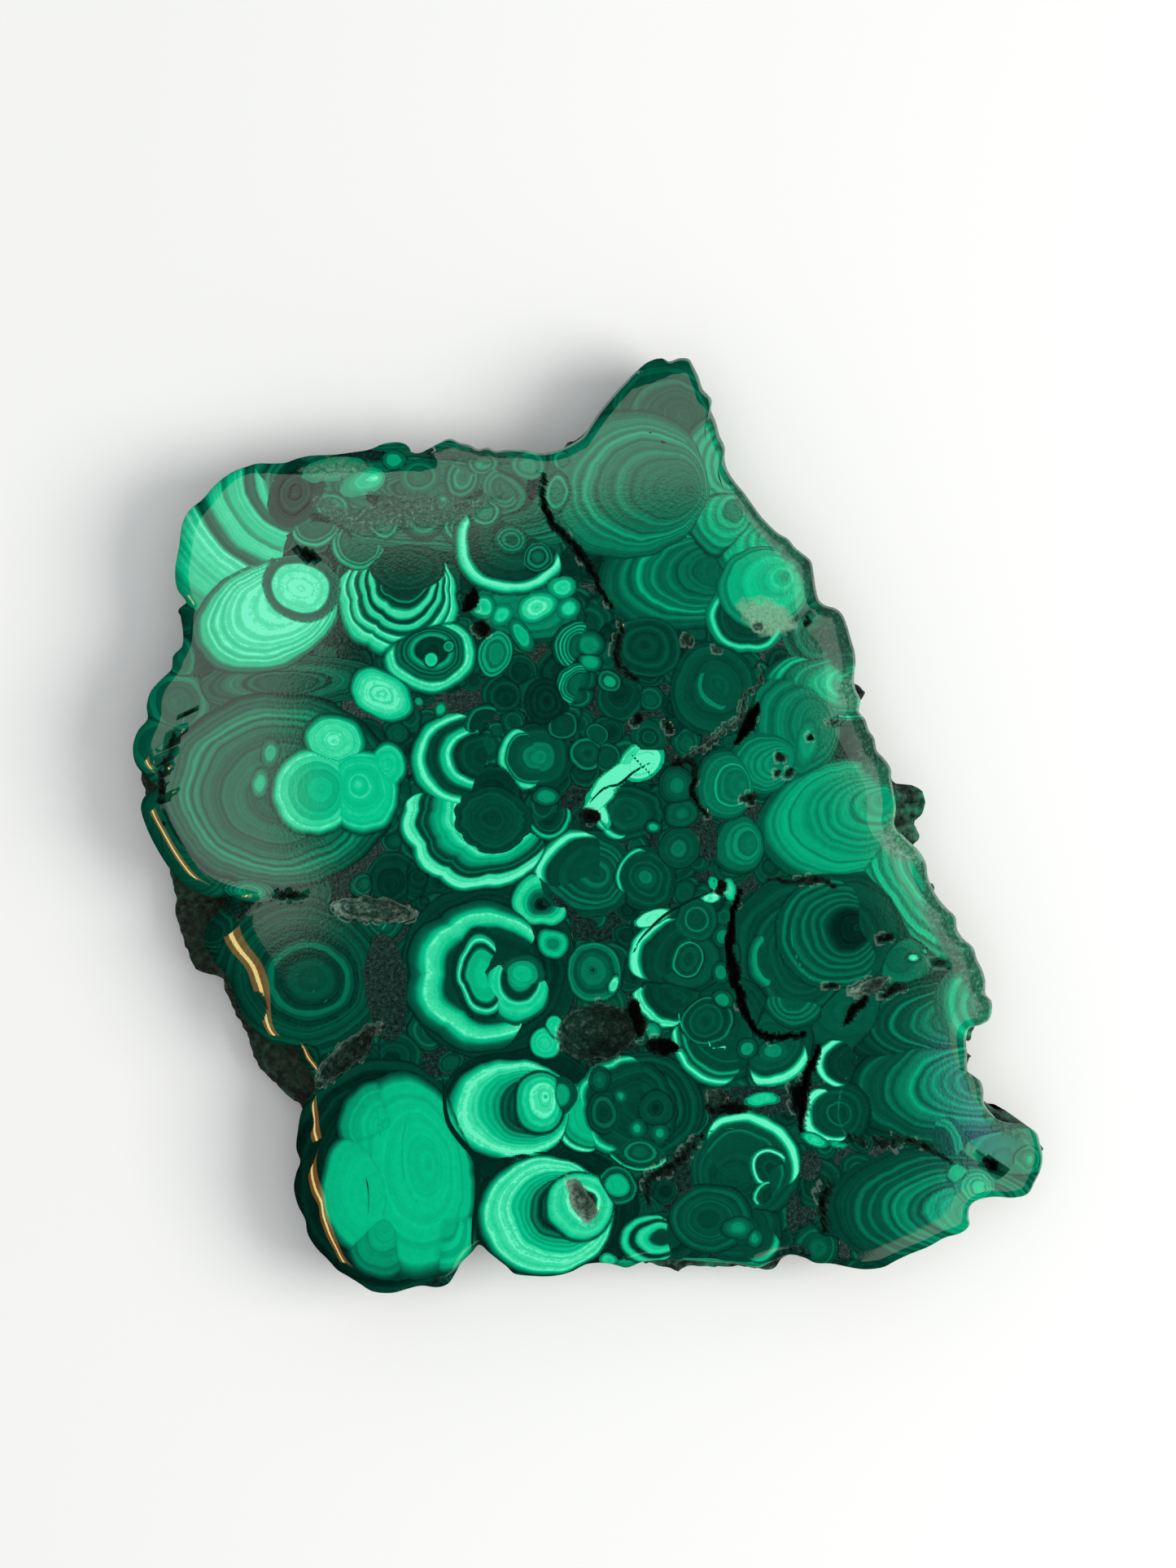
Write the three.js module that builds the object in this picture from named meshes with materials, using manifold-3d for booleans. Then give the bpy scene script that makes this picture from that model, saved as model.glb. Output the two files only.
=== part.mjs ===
// A polished malachite slab: one slice of banded green stone, lying on its sawn back.
// The face is ground flat and polished, and rolls over along the left side. Below it the stone is
// left as it broke: a rough wall, low ledges of dark matrix that stand out past the face, and open
// cracks and hollows between the round growths.
// Millimetres, +Z up. +X is to the right and +Y to the top of the polished face.
// The origin is under the middle of the slab, on the sawn back.

import * as THREE from "three";
import { mergeVertices } from "three/addons/utils/BufferGeometryUtils.js";
import Module from "manifold-3d";

const THICKNESS = 12; // sawn back to polished face
const EDGE_SAMPLES = 232; // points along the slab's edge, at even steps
const ROLL_STEPS = 3; // facets across the rounded edge
const FACE_ROLL = { width: 1.6, drop: 1.1 }; // the eased edge where nothing else is said
const WALL_INSET = 0.8; // the broken wall stands back under the polished edge
const WALL_FOOT = 2; // and tapers in by this much at the sawn back
const WALL_ROUGHNESS = 0.55;
const WALL_LUMP = 4.5; // size of the wall's lumps
const LOWER_WALL = [0.62, 0.34]; // the lower wall's facets, as shares of its top's height
const BREAK_HEIGHT = 6.2; // where the wall breaks into its lower half, and how far that wanders
const BREAK_WANDER = 1.8;
const LEDGE_LIP = 0.6;
const SAW_CHIP = { height: 0.9, inset: 0.7 }; // chipped lower edge
const CUT_CLEARANCE = 3; // cutters stand this far above the face
const BOWL_FACETS = [14, 10]; // round a hollow, and from its rim to its floor
const BOWL_RISE = 0.35; // how far above the face a hollow's sphere is centred, as a share of its depth
const CRACK_TIP = 0.25; // a crack's width at its ends, as a share of its widest
const CHIP_BLOCK = { overrun: 4, depth: 12, height: 8 };

// The edge of the polished face, counter-clockwise from the top of the left lobe. Positions here
// and below are measured from a point near the middle of the face.
const FACE_EDGE = {
  leftLobe: [
    [-42, 43.9], [-43.8, 43.2], [-45.8, 41.7], [-47.4, 39.9], [-49, 38.6], [-49.9, 36.9], [-50.3, 34.2],
    [-50.8, 31], [-50.5, 28.8], [-49.4, 27.2], [-50.1, 26.5], [-49.8, 23.5], [-49.9, 21.8], [-51, 20.6],
  ],
  scallopedRim: [
    [-51.2, 19], [-52.4, 17.8], [-53.8, 16.2], [-54.3, 14.4], [-54.2, 12.9], [-55.4, 11.4], [-56, 9.5],
    [-55.7, 7.4], [-54.2, 5.6], [-53, 4.3], [-54.5, 3.4], [-55, 2], [-54.4, -0.5], [-53.2, -3], [-51.7, -5.4],
    [-50.2, -7.2], [-48, -8.6], [-45.8, -9.3], [-44.3, -9.2],
  ],
  eyeGrowth: [
    [-45.8, -10.9], [-47.1, -12.4], [-47.5, -14.5], [-46.4, -16.8], [-44.5, -19], [-43.7, -21.2],
    [-42.8, -23.2], [-41.3, -25.2], [-39.5, -26.7], [-37.5, -27.4], [-35.8, -27.5], [-35.2, -29.3],
    [-34, -30.8], [-33.5, -32.5], [-34.5, -34],
  ],
  lowerLeftGrowth: [
    [-35.3, -35.6], [-35.8, -38], [-36, -40.2], [-35.5, -41.8], [-36, -43.2], [-36.3, -45], [-35.8, -47.2],
    [-34.9, -49], [-34.6, -50.7], [-33.6, -52.3], [-32, -53.8], [-30.8, -55], [-29.4, -55.8], [-28, -56.7],
    [-26.5, -57.6], [-24, -57.8], [-22.2, -57.3], [-20.5, -56.9], [-18.5, -57.1], [-17.2, -56.7],
    [-16.3, -55.5], [-15.5, -54.1], [-14.2, -52.8],
  ],
  bottom: [
    [-13.3, -51.9], [-12.2, -52.8], [-10.8, -53.9], [-9.8, -54.7], [-9.1, -55.4], [-7, -55.7], [-4, -55.7],
    [-2, -55.2], [-0.2, -54.3], [1.5, -54.1], [3.2, -54.3], [4.8, -54.7], [7, -53.9], [11, -53.7],
    [15, -53.9], [18.5, -54.2], [21, -54.6], [23, -53.8], [24.8, -53.1], [26.5, -53.4], [28, -54.1],
    [30, -54.2], [32.5, -54.7], [34.2, -54.9], [36.5, -54.6], [37.8, -53.9], [39.5, -53.1], [42, -52.1],
    [44, -51], [46, -50.4],
  ],
  rightSpur: [
    [47, -49.5], [46.9, -48.4], [47, -47.3], [47.6, -46.6], [48.6, -46.2], [50.2, -46], [52.5, -46.1],
    [54.2, -45.6], [55, -44.2], [55.8, -42.5], [56, -41], [55.7, -39.5], [55.2, -38], [54.2, -37.8],
    [52.5, -37.6], [51, -36.9], [49.8, -35.8], [48.8, -34.5], [48.7, -32.8], [48.3, -31.6], [47, -31],
  ],
  rightSide: [
    [46.7, -29.8], [46.7, -28], [46.6, -26.5], [47, -25.2], [48.4, -24.8], [49.4, -24.2], [49.8, -22.8],
    [49.7, -21.8], [49, -21], [49, -19.5], [48.6, -18], [48, -16.8], [47.5, -15.3], [46.3, -14.2],
    [45.5, -13], [45.3, -11.5], [44.2, -10.4], [43.2, -9.2], [42.5, -8], [41.9, -6.5], [41.7, -5],
    [40.9, -3.5], [39.2, -1.8], [37.8, -0.2], [38, 1.5], [37.8, 3.5], [37.4, 5.2], [37.3, 6.8],
    [36.5, 8], [35.6, 9], [35.3, 10.5], [34.6, 11.5], [34.2, 12.8], [33.4, 13.8], [33.6, 15.2],
    [33, 16.5], [32.8, 17.8], [33, 19.5], [32.9, 21], [32.5, 22.5], [32, 24.2], [31.5, 25.5],
    [30.7, 26.4], [29.2, 26.9], [28.5, 27.5], [28.1, 29], [27.8, 31], [27.5, 32.3], [26.5, 33.2],
    [25.5, 34], [24.7, 35], [23.5, 35.7], [22.2, 36.9], [21.2, 38], [20.2, 39.4], [19.2, 40.8],
  ],
  peak: [
    [18.2, 42], [17.3, 43.4], [16.9, 44.8], [16.9, 46.4], [16.3, 47.7], [15.8, 49.5], [15.2, 51],
    [15.3, 52.2], [14.2, 53.5], [13.7, 55], [13, 56.4], [12.5, 57.2], [11.3, 57.3], [10, 56.9],
    [9.2, 57.3], [7.7, 57], [6, 55.7], [4.2, 54], [2.7, 52.3], [1.5, 50.8], [0.4, 49.2],
  ],
  top: [
    [-0.5, 47.8], [-2, 46.7], [-3.8, 45.9], [-5.8, 45.6], [-8, 46], [-10, 46], [-11.5, 45.9], [-12.2, 46.3],
    [-13.5, 46.1], [-14.5, 46.6], [-15.8, 46.9], [-16.8, 47.4], [-18, 47], [-19.5, 46.2], [-20.8, 45.6],
    [-21.8, 45.8], [-22.1, 46.5], [-23.2, 47], [-25.2, 46.8], [-26.8, 46.1], [-29, 45.7], [-31.5, 45.4],
    [-34, 45.3], [-35.8, 44.9], [-37.2, 44.4], [-39, 44.3], [-40.6, 44.3],
  ],
};

// Where the polish rolls over further than the eased edge, by its place along the edge.
const ROLLS = [
  { at: [-50, 33], reach: 11, width: 4.2, drop: 2.6 },
  { at: [-56, 9], reach: 9, width: 2.4, drop: 1.8 },
  { at: [-52, -4], reach: 8, width: 2.8, drop: 2.8 },
  { at: [-45, -17], reach: 12, width: 6.2, drop: 4.2 },
  { at: [-36, -45], reach: 13, width: 5, drop: 4 },
  { at: [44, -10], reach: 22, width: 4.2, drop: 1.5 },
  { at: [33, 18], reach: 22, width: 4, drop: 1.4 },
  { at: [8, 50], reach: 16, width: 3, drop: 1.6 },
];

// Rough stone that stands out past the polished face, each with the height of its top.
const LEDGES = {
  rimNotch: {
    top: 8,
    edge: [[-56, 7.5], [-55.4, 6], [-55.2, 4.8], [-55.1, 3.5], [-55, 2]],
  },
  leftSpike: {
    top: 7,
    edge: [[-50.1, 27.4], [-51, 26.6], [-51, 26], [-50, 25.2]],
  },
  lowerLeft: {
    top: 4.6,
    edge: [
      [-52.3, -4.6], [-51.9, -7.5], [-51.6, -10], [-51.1, -12.8], [-50.7, -14.5], [-50.2, -16.8],
      [-49.4, -18.4], [-47.5, -19], [-45.8, -19.5], [-45.1, -21.5], [-44.3, -23.3], [-43.2, -25.2],
      [-42.2, -27.4], [-41.6, -29.5], [-40.8, -31], [-39.4, -32.4], [-37.7, -33.8], [-36.3, -34.8],
      [-35.3, -35.8],
    ],
  },
  bottomSkirt: {
    top: 7.4,
    edge: [
      [4.8, -54.8], [8, -54.8], [9.5, -55.3], [11.2, -55.7], [12.5, -55.1], [15, -55.1], [18, -55.3],
      [20, -55], [21.2, -55.4], [22.5, -55.6], [23.5, -55.1], [24.5, -54.3], [25.5, -54], [27, -54.4],
      [28.2, -54.3],
    ],
  },
  bottomKnob: {
    top: 6,
    edge: [[47.9, -46.5], [48.3, -47.1], [48.8, -47.4], [49.3, -47], [49.7, -46.2]],
  },
  spurTip: {
    top: 8.5,
    edge: [[56, -41.4], [56.4, -40.8], [56.5, -40.3], [55.9, -39.5]],
  },
  rightSpike: {
    top: 7,
    edge: [[46.8, -30.2], [47.5, -29.6], [48.1, -29], [47.3, -28.6], [46.7, -28.2]],
  },
  crystalPatch: {
    top: 8.6,
    edge: [[47, -27.2], [47.6, -26.5], [48.6, -25.2], [49.6, -24]],
  },
  sideKnob: {
    top: 8,
    edge: [[42.9, -8.7], [43.3, -7.8], [42.8, -7.3], [42, -7.5]],
  },
  roundLobe: {
    top: 10.2,
    edge: [
      [40.6, -3], [41.1, -2], [41, 0.2], [42.1, 1.5], [42.3, 3], [41.8, 4.2], [40.5, 5], [38.3, 5],
      [37.4, 6.2],
    ],
  },
  crystalKnob: {
    top: 9,
    edge: [[33.6, 14.2], [34, 15.3], [34.7, 16.2], [34.1, 17.2], [32.9, 17.5]],
  },
  peakFlank: {
    top: 7.5,
    edge: [[0.2, 49], [-0.4, 48.6], [-1.6, 47.8], [-2.3, 47.7], [-3, 46.7], [-4, 45.9]],
  },
};

// Open hollows between the growths: an oval mouth, turned by a number of degrees, and a depth.
const HOLLOWS = [
  { at: [1.2, -25.6], size: [10.4, 6.6], turn: 8, depth: 4.2 },
  { at: [8.2, -25], size: [4.6, 7.4], turn: 20, depth: 4.8 },
  { at: [-26.4, -10.6], size: [10.2, 3], turn: -4, depth: 2.6 },
  { at: [-0.8, -46.2], size: [2.6, 5.4], turn: 24, depth: 2.2 },
  { at: [50, -42.2], size: [1.8, 2.4], turn: 0, depth: 3.4 },
  { at: [36.6, -20.6], size: [7.6, 2.2], turn: 12, depth: 2.4 },
  { at: [20.4, -34.2], size: [10, 3], turn: -3, depth: 2.6 },
  { at: [5, 20.6], size: [2.8, 6.6], turn: 18, depth: 2.2 },
  { at: [-14.4, 27.2], size: [1.8, 2.8], turn: -20, depth: 2.6 },
  { at: [0.2, 0.8], size: [2.8, 1.8], turn: -15, depth: 2.4 },
  { at: [-34.4, 33], size: [3.4, 1.3], turn: -22, depth: 2.4 },
  { at: [-29.6, -28.4], size: [11, 2.8], turn: 42, depth: 3.6 },
  { at: [-36, 41], size: [5.2, 3.6], turn: -40, depth: 1.3 },
];

// Open cracks: points along each one, its widest opening and its depth.
const CRACKS = {
  longArc: {
    width: 1.3,
    depth: 3.6,
    path: [
      [18.6, -8.2], [17.7, -11.5], [17.5, -15], [18.2, -19.5], [19.8, -23.4], [22.4, -26.4], [26.2, -26.8],
    ],
  },
  topArc: {
    width: 1,
    depth: 3.2,
    path: [
      [-5.4, 43], [-5.3, 40], [-4.9, 37.8], [-3.2, 35.8], [-1.4, 33.8], [0.2, 31.8], [1.2, 29.4], [3, 26.8],
    ],
  },
  greyFissure: {
    width: 1.7,
    depth: 3,
    path: [[21.6, 16.4], [20.8, 14], [20.2, 11.4], [18.2, 9], [15, 6.8], [13, 7.2]],
  },
  innerFissure: {
    width: 0.9,
    depth: 2.8,
    path: [[12.8, 7.8], [13.4, 5], [13, 2.6], [14.8, 0.6]],
  },
  slantFissure: {
    width: 1.2,
    depth: 3,
    path: [[36, -21.2], [34.2, -23], [32, -25.6]],
  },
  midRight: {
    width: 0.8,
    depth: 2.4,
    path: [[22.2, -6.6], [25, -7.2], [28.4, -6.8], [31, -7.8]],
  },
  lowerRight: {
    width: 1,
    depth: 2.6,
    path: [[31.6, -39], [35.6, -39.8], [39, -39.1], [42, -40.4], [44.6, -41.2]],
  },
  lowerMiddle: {
    width: 1.1,
    depth: 2.6,
    path: [[14.3, -38.3], [12.8, -39.8], [10.8, -41.8], [7.8, -43.8], [7.3, -47.3]],
  },
  lowerUpright: {
    width: 0.9,
    depth: 3,
    path: [[30.8, -43.4], [29.4, -45.6], [29, -48.4], [29.8, -51]],
  },
  brightRim: {
    width: 1,
    depth: 3,
    path: [[28.4, -28.8], [27.4, -32], [26.8, -35.2], [26.4, -38.6]],
  },
  rimArc: {
    width: 0.8,
    depth: 2.4,
    path: [[-48.4, 14.2], [-50.4, 11.8], [-51.6, 9], [-52.4, 6.2], [-52.5, 3.6], [-52.1, 1.2], [-50.8, -1.6]],
  },
};

// Broken facets that slope away from the face: a line across the face, and how far it then drops.
const CHIPS = [
  { from: [-39, 43.2], to: [-21, 43.6], slope: 36 },
  { from: [3.4, 53], to: [10.6, 55.6], slope: 42 },
];

const TAU = 2 * Math.PI;

function hashed(i, j, seed) {
  let h = Math.imul(i, 374761393) ^ Math.imul(j, 668265263) ^ Math.imul(seed, 2246822519);
  h = Math.imul(h ^ (h >>> 13), 1274126177);
  return ((h ^ (h >>> 16)) >>> 0) / 4294967295;
}

// Smooth noise from -1 to 1 that closes on itself after `period` steps of u.
function lumps(u, v, seed, period) {
  const i = Math.floor(u);
  const j = Math.floor(v);
  const ease = (t) => t * t * (3 - 2 * t);
  const wrapped = (k) => ((k % period) + period) % period;
  const a = THREE.MathUtils.lerp(hashed(wrapped(i), j, seed), hashed(wrapped(i + 1), j, seed), ease(u - i));
  const b = THREE.MathUtils.lerp(
    hashed(wrapped(i), j + 1, seed), hashed(wrapped(i + 1), j + 1, seed), ease(u - i),
  );
  return 2 * THREE.MathUtils.lerp(a, b, ease(v - j)) - 1;
}

// The edge as points at even steps, each with its angle and distance from the middle.
function edgeSamples() {
  const points = Object.values(FACE_EDGE).flat().map(([x, y]) => new THREE.Vector3(x, y, 0));
  const curve = new THREE.CatmullRomCurve3(points, true, "centripetal");
  curve.arcLengthDivisions = 8 * EDGE_SAMPLES;
  const spaced = curve.getSpacedPoints(EDGE_SAMPLES).slice(0, EDGE_SAMPLES);
  return spaced.map((p, k) => ({
    share: k / EDGE_SAMPLES,
    angle: Math.atan2(p.y, p.x),
    reach: Math.hypot(p.x, p.y),
    at: new THREE.Vector2(p.x, p.y),
  }));
}

// The ledge at an angle, if there is one: how far out it stands, and its top.
function ledgeAt(angle) {
  for (const { top, edge } of Object.values(LEDGES)) {
    const turned = edge.map(([x, y]) => {
      const past = Math.atan2(y, x) - angle;
      return { past: past - TAU * Math.round(past / TAU), reach: Math.hypot(x, y) };
    });
    for (let k = 0; k + 1 < turned.length; k++) {
      const [a, b] = [turned[k], turned[k + 1]];
      const spans = a.past <= 0 && b.past > 0 && b.past - a.past < 1;
      if (spans) {
        return { top, reach: THREE.MathUtils.mapLinear(0, a.past, b.past, a.reach, b.reach) };
      }
    }
  }
  return null;
}

function rollAt(point) {
  const roll = { ...FACE_ROLL };
  for (const { at, reach, width, drop } of ROLLS) {
    const away = point.distanceTo(new THREE.Vector2(...at));
    const near = 1 - THREE.MathUtils.smoothstep(away, 0.4 * reach, reach);
    roll.width = Math.max(roll.width, THREE.MathUtils.lerp(FACE_ROLL.width, width, near));
    roll.drop = Math.max(roll.drop, THREE.MathUtils.lerp(FACE_ROLL.drop, drop, near));
  }
  return roll;
}

// One line of the slab from the polished face, over the edge and down to the sawn back, as
// [distance from the middle, height] pairs.
function section({ share, angle, reach, at }, perimeter) {
  const roll = rollAt(at);
  const ledge = ledgeAt(angle);
  const period = Math.round(perimeter / WALL_LUMP);
  const rough = (z, seed) => lumps(share * period, z / WALL_LUMP, seed, period);
  const wall = reach - WALL_INSET;
  const outer = ledge ? Math.max(ledge.reach, wall) : wall;
  const wanted = ledge ? ledge.top : BREAK_HEIGHT + BREAK_WANDER * rough(0, 3);
  const top = Math.min(wanted, THICKNESS - roll.drop - 2 * LEDGE_LIP);
  const line = [];
  for (let k = 0; k <= ROLL_STEPS; k++) {
    const turn = (k / ROLL_STEPS) * (Math.PI / 2);
    line.push([
      reach - roll.width * (1 - Math.sin(turn)),
      THICKNESS - roll.drop * (1 - Math.cos(turn)),
    ]);
  }
  line.push([wall + WALL_ROUGHNESS * rough(top, 1), top + LEDGE_LIP]);
  line.push([outer - LEDGE_LIP + WALL_ROUGHNESS * rough(top, 1), top]);
  line.push([outer, top - LEDGE_LIP]);
  for (const height of LOWER_WALL) {
    const taper = WALL_FOOT * (1 - height) + WALL_ROUGHNESS * Math.abs(rough(height * top, 2));
    line.push([outer - taper, height * top]);
  }
  line.push([outer - WALL_FOOT, SAW_CHIP.height]);
  line.push([outer - WALL_FOOT - SAW_CHIP.inset, 0]);
  return line;
}

function closedSolid(wasm, geometry) {
  const bare = geometry.clone();
  bare.deleteAttribute("normal");
  bare.deleteAttribute("uv");
  const merged = mergeVertices(bare, 1e-4);
  return new wasm.Manifold(new wasm.Mesh({
    numProp: 3,
    vertProperties: new Float32Array(merged.attributes.position.array),
    triVerts: new Uint32Array(merged.index.array),
  }));
}

// The slab without its hollows: rings of points, one below the other, closed by two flat fans.
function body(wasm) {
  const samples = edgeSamples();
  const perimeter = samples.reduce(
    (sum, s, k) => sum + s.at.distanceTo(samples[(k + 1) % samples.length].at), 0,
  );
  const lines = samples.map((s) => section(s, perimeter));
  const rings = lines[0].length;
  const positions = [];
  for (let r = 0; r < rings; r++) {
    samples.forEach((s, k) => {
      const [reach, z] = lines[k][r];
      positions.push(reach * Math.cos(s.angle), reach * Math.sin(s.angle), z);
    });
  }
  const index = [];
  const n = samples.length;
  for (let r = 0; r + 1 < rings; r++) {
    for (let k = 0; k < n; k++) {
      const [a, b] = [r * n + k, r * n + ((k + 1) % n)];
      const [c, d] = [a + n, b + n];
      index.push(a, c, b, b, c, d);
    }
  }
  const [faceMiddle, backMiddle] = [rings * n, rings * n + 1];
  positions.push(0, 0, THICKNESS, 0, 0, 0);
  const last = (rings - 1) * n;
  for (let k = 0; k < n; k++) {
    const next = (k + 1) % n;
    index.push(faceMiddle, k, next);
    index.push(backMiddle, last + next, last + k);
  }
  const geometry = new THREE.BufferGeometry();
  geometry.setAttribute("position", new THREE.Float32BufferAttribute(positions, 3));
  geometry.setIndex(index);
  return closedSolid(wasm, geometry);
}

// A bowl whose mouth is the oval at the face.
function hollow(wasm, { at, size, turn, depth }) {
  const bowl = new THREE.SphereGeometry(1, ...BOWL_FACETS);
  const mouth = Math.sqrt(1 - (BOWL_RISE / (1 + BOWL_RISE)) ** 2);
  bowl.scale(size[0] / 2 / mouth, size[1] / 2 / mouth, depth * (1 + BOWL_RISE));
  bowl.rotateZ(THREE.MathUtils.degToRad(turn));
  bowl.translate(at[0], at[1], THICKNESS + BOWL_RISE * depth);
  return closedSolid(wasm, bowl);
}

// A slot that follows the crack and narrows to its two ends.
function crack(wasm, { width, depth, path }) {
  const curve = new THREE.CatmullRomCurve3(path.map(([x, y]) => new THREE.Vector3(x, y, 0)));
  const steps = 3 * (path.length - 1);
  const sides = [[], []];
  for (let k = 0; k <= steps; k++) {
    const t = k / steps;
    const p = curve.getPointAt(t);
    const along = curve.getTangentAt(t);
    const half = 0.5 * width * THREE.MathUtils.lerp(CRACK_TIP, 1, Math.sin(Math.PI * t));
    sides[0].push(new THREE.Vector2(p.x - along.y * half, p.y + along.x * half));
    sides[1].unshift(new THREE.Vector2(p.x + along.y * half, p.y - along.x * half));
  }
  const slot = new THREE.ExtrudeGeometry(new THREE.Shape(sides.flat()), {
    depth: depth + CUT_CLEARANCE,
    bevelEnabled: false,
  });
  slot.translate(0, 0, THICKNESS - depth);
  return closedSolid(wasm, slot);
}

// A block laid on the sloping facet, which takes off what stands above it.
function chip(wasm, { from, to, slope }) {
  const [start, end] = [new THREE.Vector2(...from), new THREE.Vector2(...to)];
  const along = end.clone().sub(start);
  const { overrun, depth, height } = CHIP_BLOCK;
  const block = new THREE.BoxGeometry(along.length() + overrun, depth, height);
  block.translate(0, depth / 2, height / 2);
  block.rotateX(-THREE.MathUtils.degToRad(slope));
  block.rotateZ(along.angle());
  const middle = start.add(end).multiplyScalar(0.5);
  block.translate(middle.x, middle.y, THICKNESS);
  return closedSolid(wasm, block);
}

function geometryOf(solid) {
  const mesh = solid.getMesh();
  const geometry = new THREE.BufferGeometry();
  geometry.setAttribute("position", new THREE.Float32BufferAttribute(mesh.vertProperties, 3));
  geometry.setIndex([...mesh.triVerts]);
  geometry.computeBoundingBox();
  const { min, max } = geometry.boundingBox;
  geometry.translate(-(min.x + max.x) / 2, -(min.y + max.y) / 2, -min.z);
  geometry.computeVertexNormals();
  return geometry;
}

const wasm = await Module();
wasm.setup();

const cutters = [
  ...HOLLOWS.map((h) => hollow(wasm, h)),
  ...Object.values(CRACKS).map((c) => crack(wasm, c)),
  ...CHIPS.map((c) => chip(wasm, c)),
];
const slab = cutters.reduce((stone, cutter) => stone.subtract(cutter), body(wasm));

const malachite = new THREE.MeshStandardMaterial({ color: 0x0f8f63, roughness: 0.12, metalness: 0 });
const mesh = new THREE.Mesh(geometryOf(slab), malachite);
mesh.name = "malachite_slab";

const group = new THREE.Group();
group.add(mesh);

export default group;
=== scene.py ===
"""Dresses the malachite slab: polished banded face, open hollows, broken sides, sawn back and stage."""

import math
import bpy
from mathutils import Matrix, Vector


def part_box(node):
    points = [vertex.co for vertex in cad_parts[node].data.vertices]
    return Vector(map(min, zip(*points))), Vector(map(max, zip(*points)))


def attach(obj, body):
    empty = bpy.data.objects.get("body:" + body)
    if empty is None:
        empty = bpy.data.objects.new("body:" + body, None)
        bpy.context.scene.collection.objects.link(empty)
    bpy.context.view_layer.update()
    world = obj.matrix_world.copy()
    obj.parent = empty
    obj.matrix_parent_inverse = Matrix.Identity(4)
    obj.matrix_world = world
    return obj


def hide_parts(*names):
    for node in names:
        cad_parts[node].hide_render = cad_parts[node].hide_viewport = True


bl_info = {
    "name": "Polished malachite slab",
    "version": (1, 0, 0),
    "blender": (4, 5, 0),
    "location": "3D View > Sidebar > Malachite",
    "description": "Builds a banded malachite slab with a polished face, broken sides and a sawn back",
    "category": "Add Mesh",
}

import bpy
import numpy as np
from mathutils import Vector

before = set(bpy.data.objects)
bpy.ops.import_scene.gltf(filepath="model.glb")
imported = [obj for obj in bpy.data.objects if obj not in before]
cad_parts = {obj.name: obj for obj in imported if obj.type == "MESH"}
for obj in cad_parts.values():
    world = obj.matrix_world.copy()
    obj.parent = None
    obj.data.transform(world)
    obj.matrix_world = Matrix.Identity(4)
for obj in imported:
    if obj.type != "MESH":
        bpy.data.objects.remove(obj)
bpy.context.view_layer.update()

NODE = "malachite_slab"
MM = 0.001
THICKNESS = (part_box(NODE)[1].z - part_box(NODE)[0].z) / MM

# The photograph's frame, and where in it the slab's own measuring point lies.
PHOTO_SIZE = (1445, 1927)
PHOTO_MIDDLE = (722, 1012)
MM_PER_PIXEL = 0.1

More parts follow.
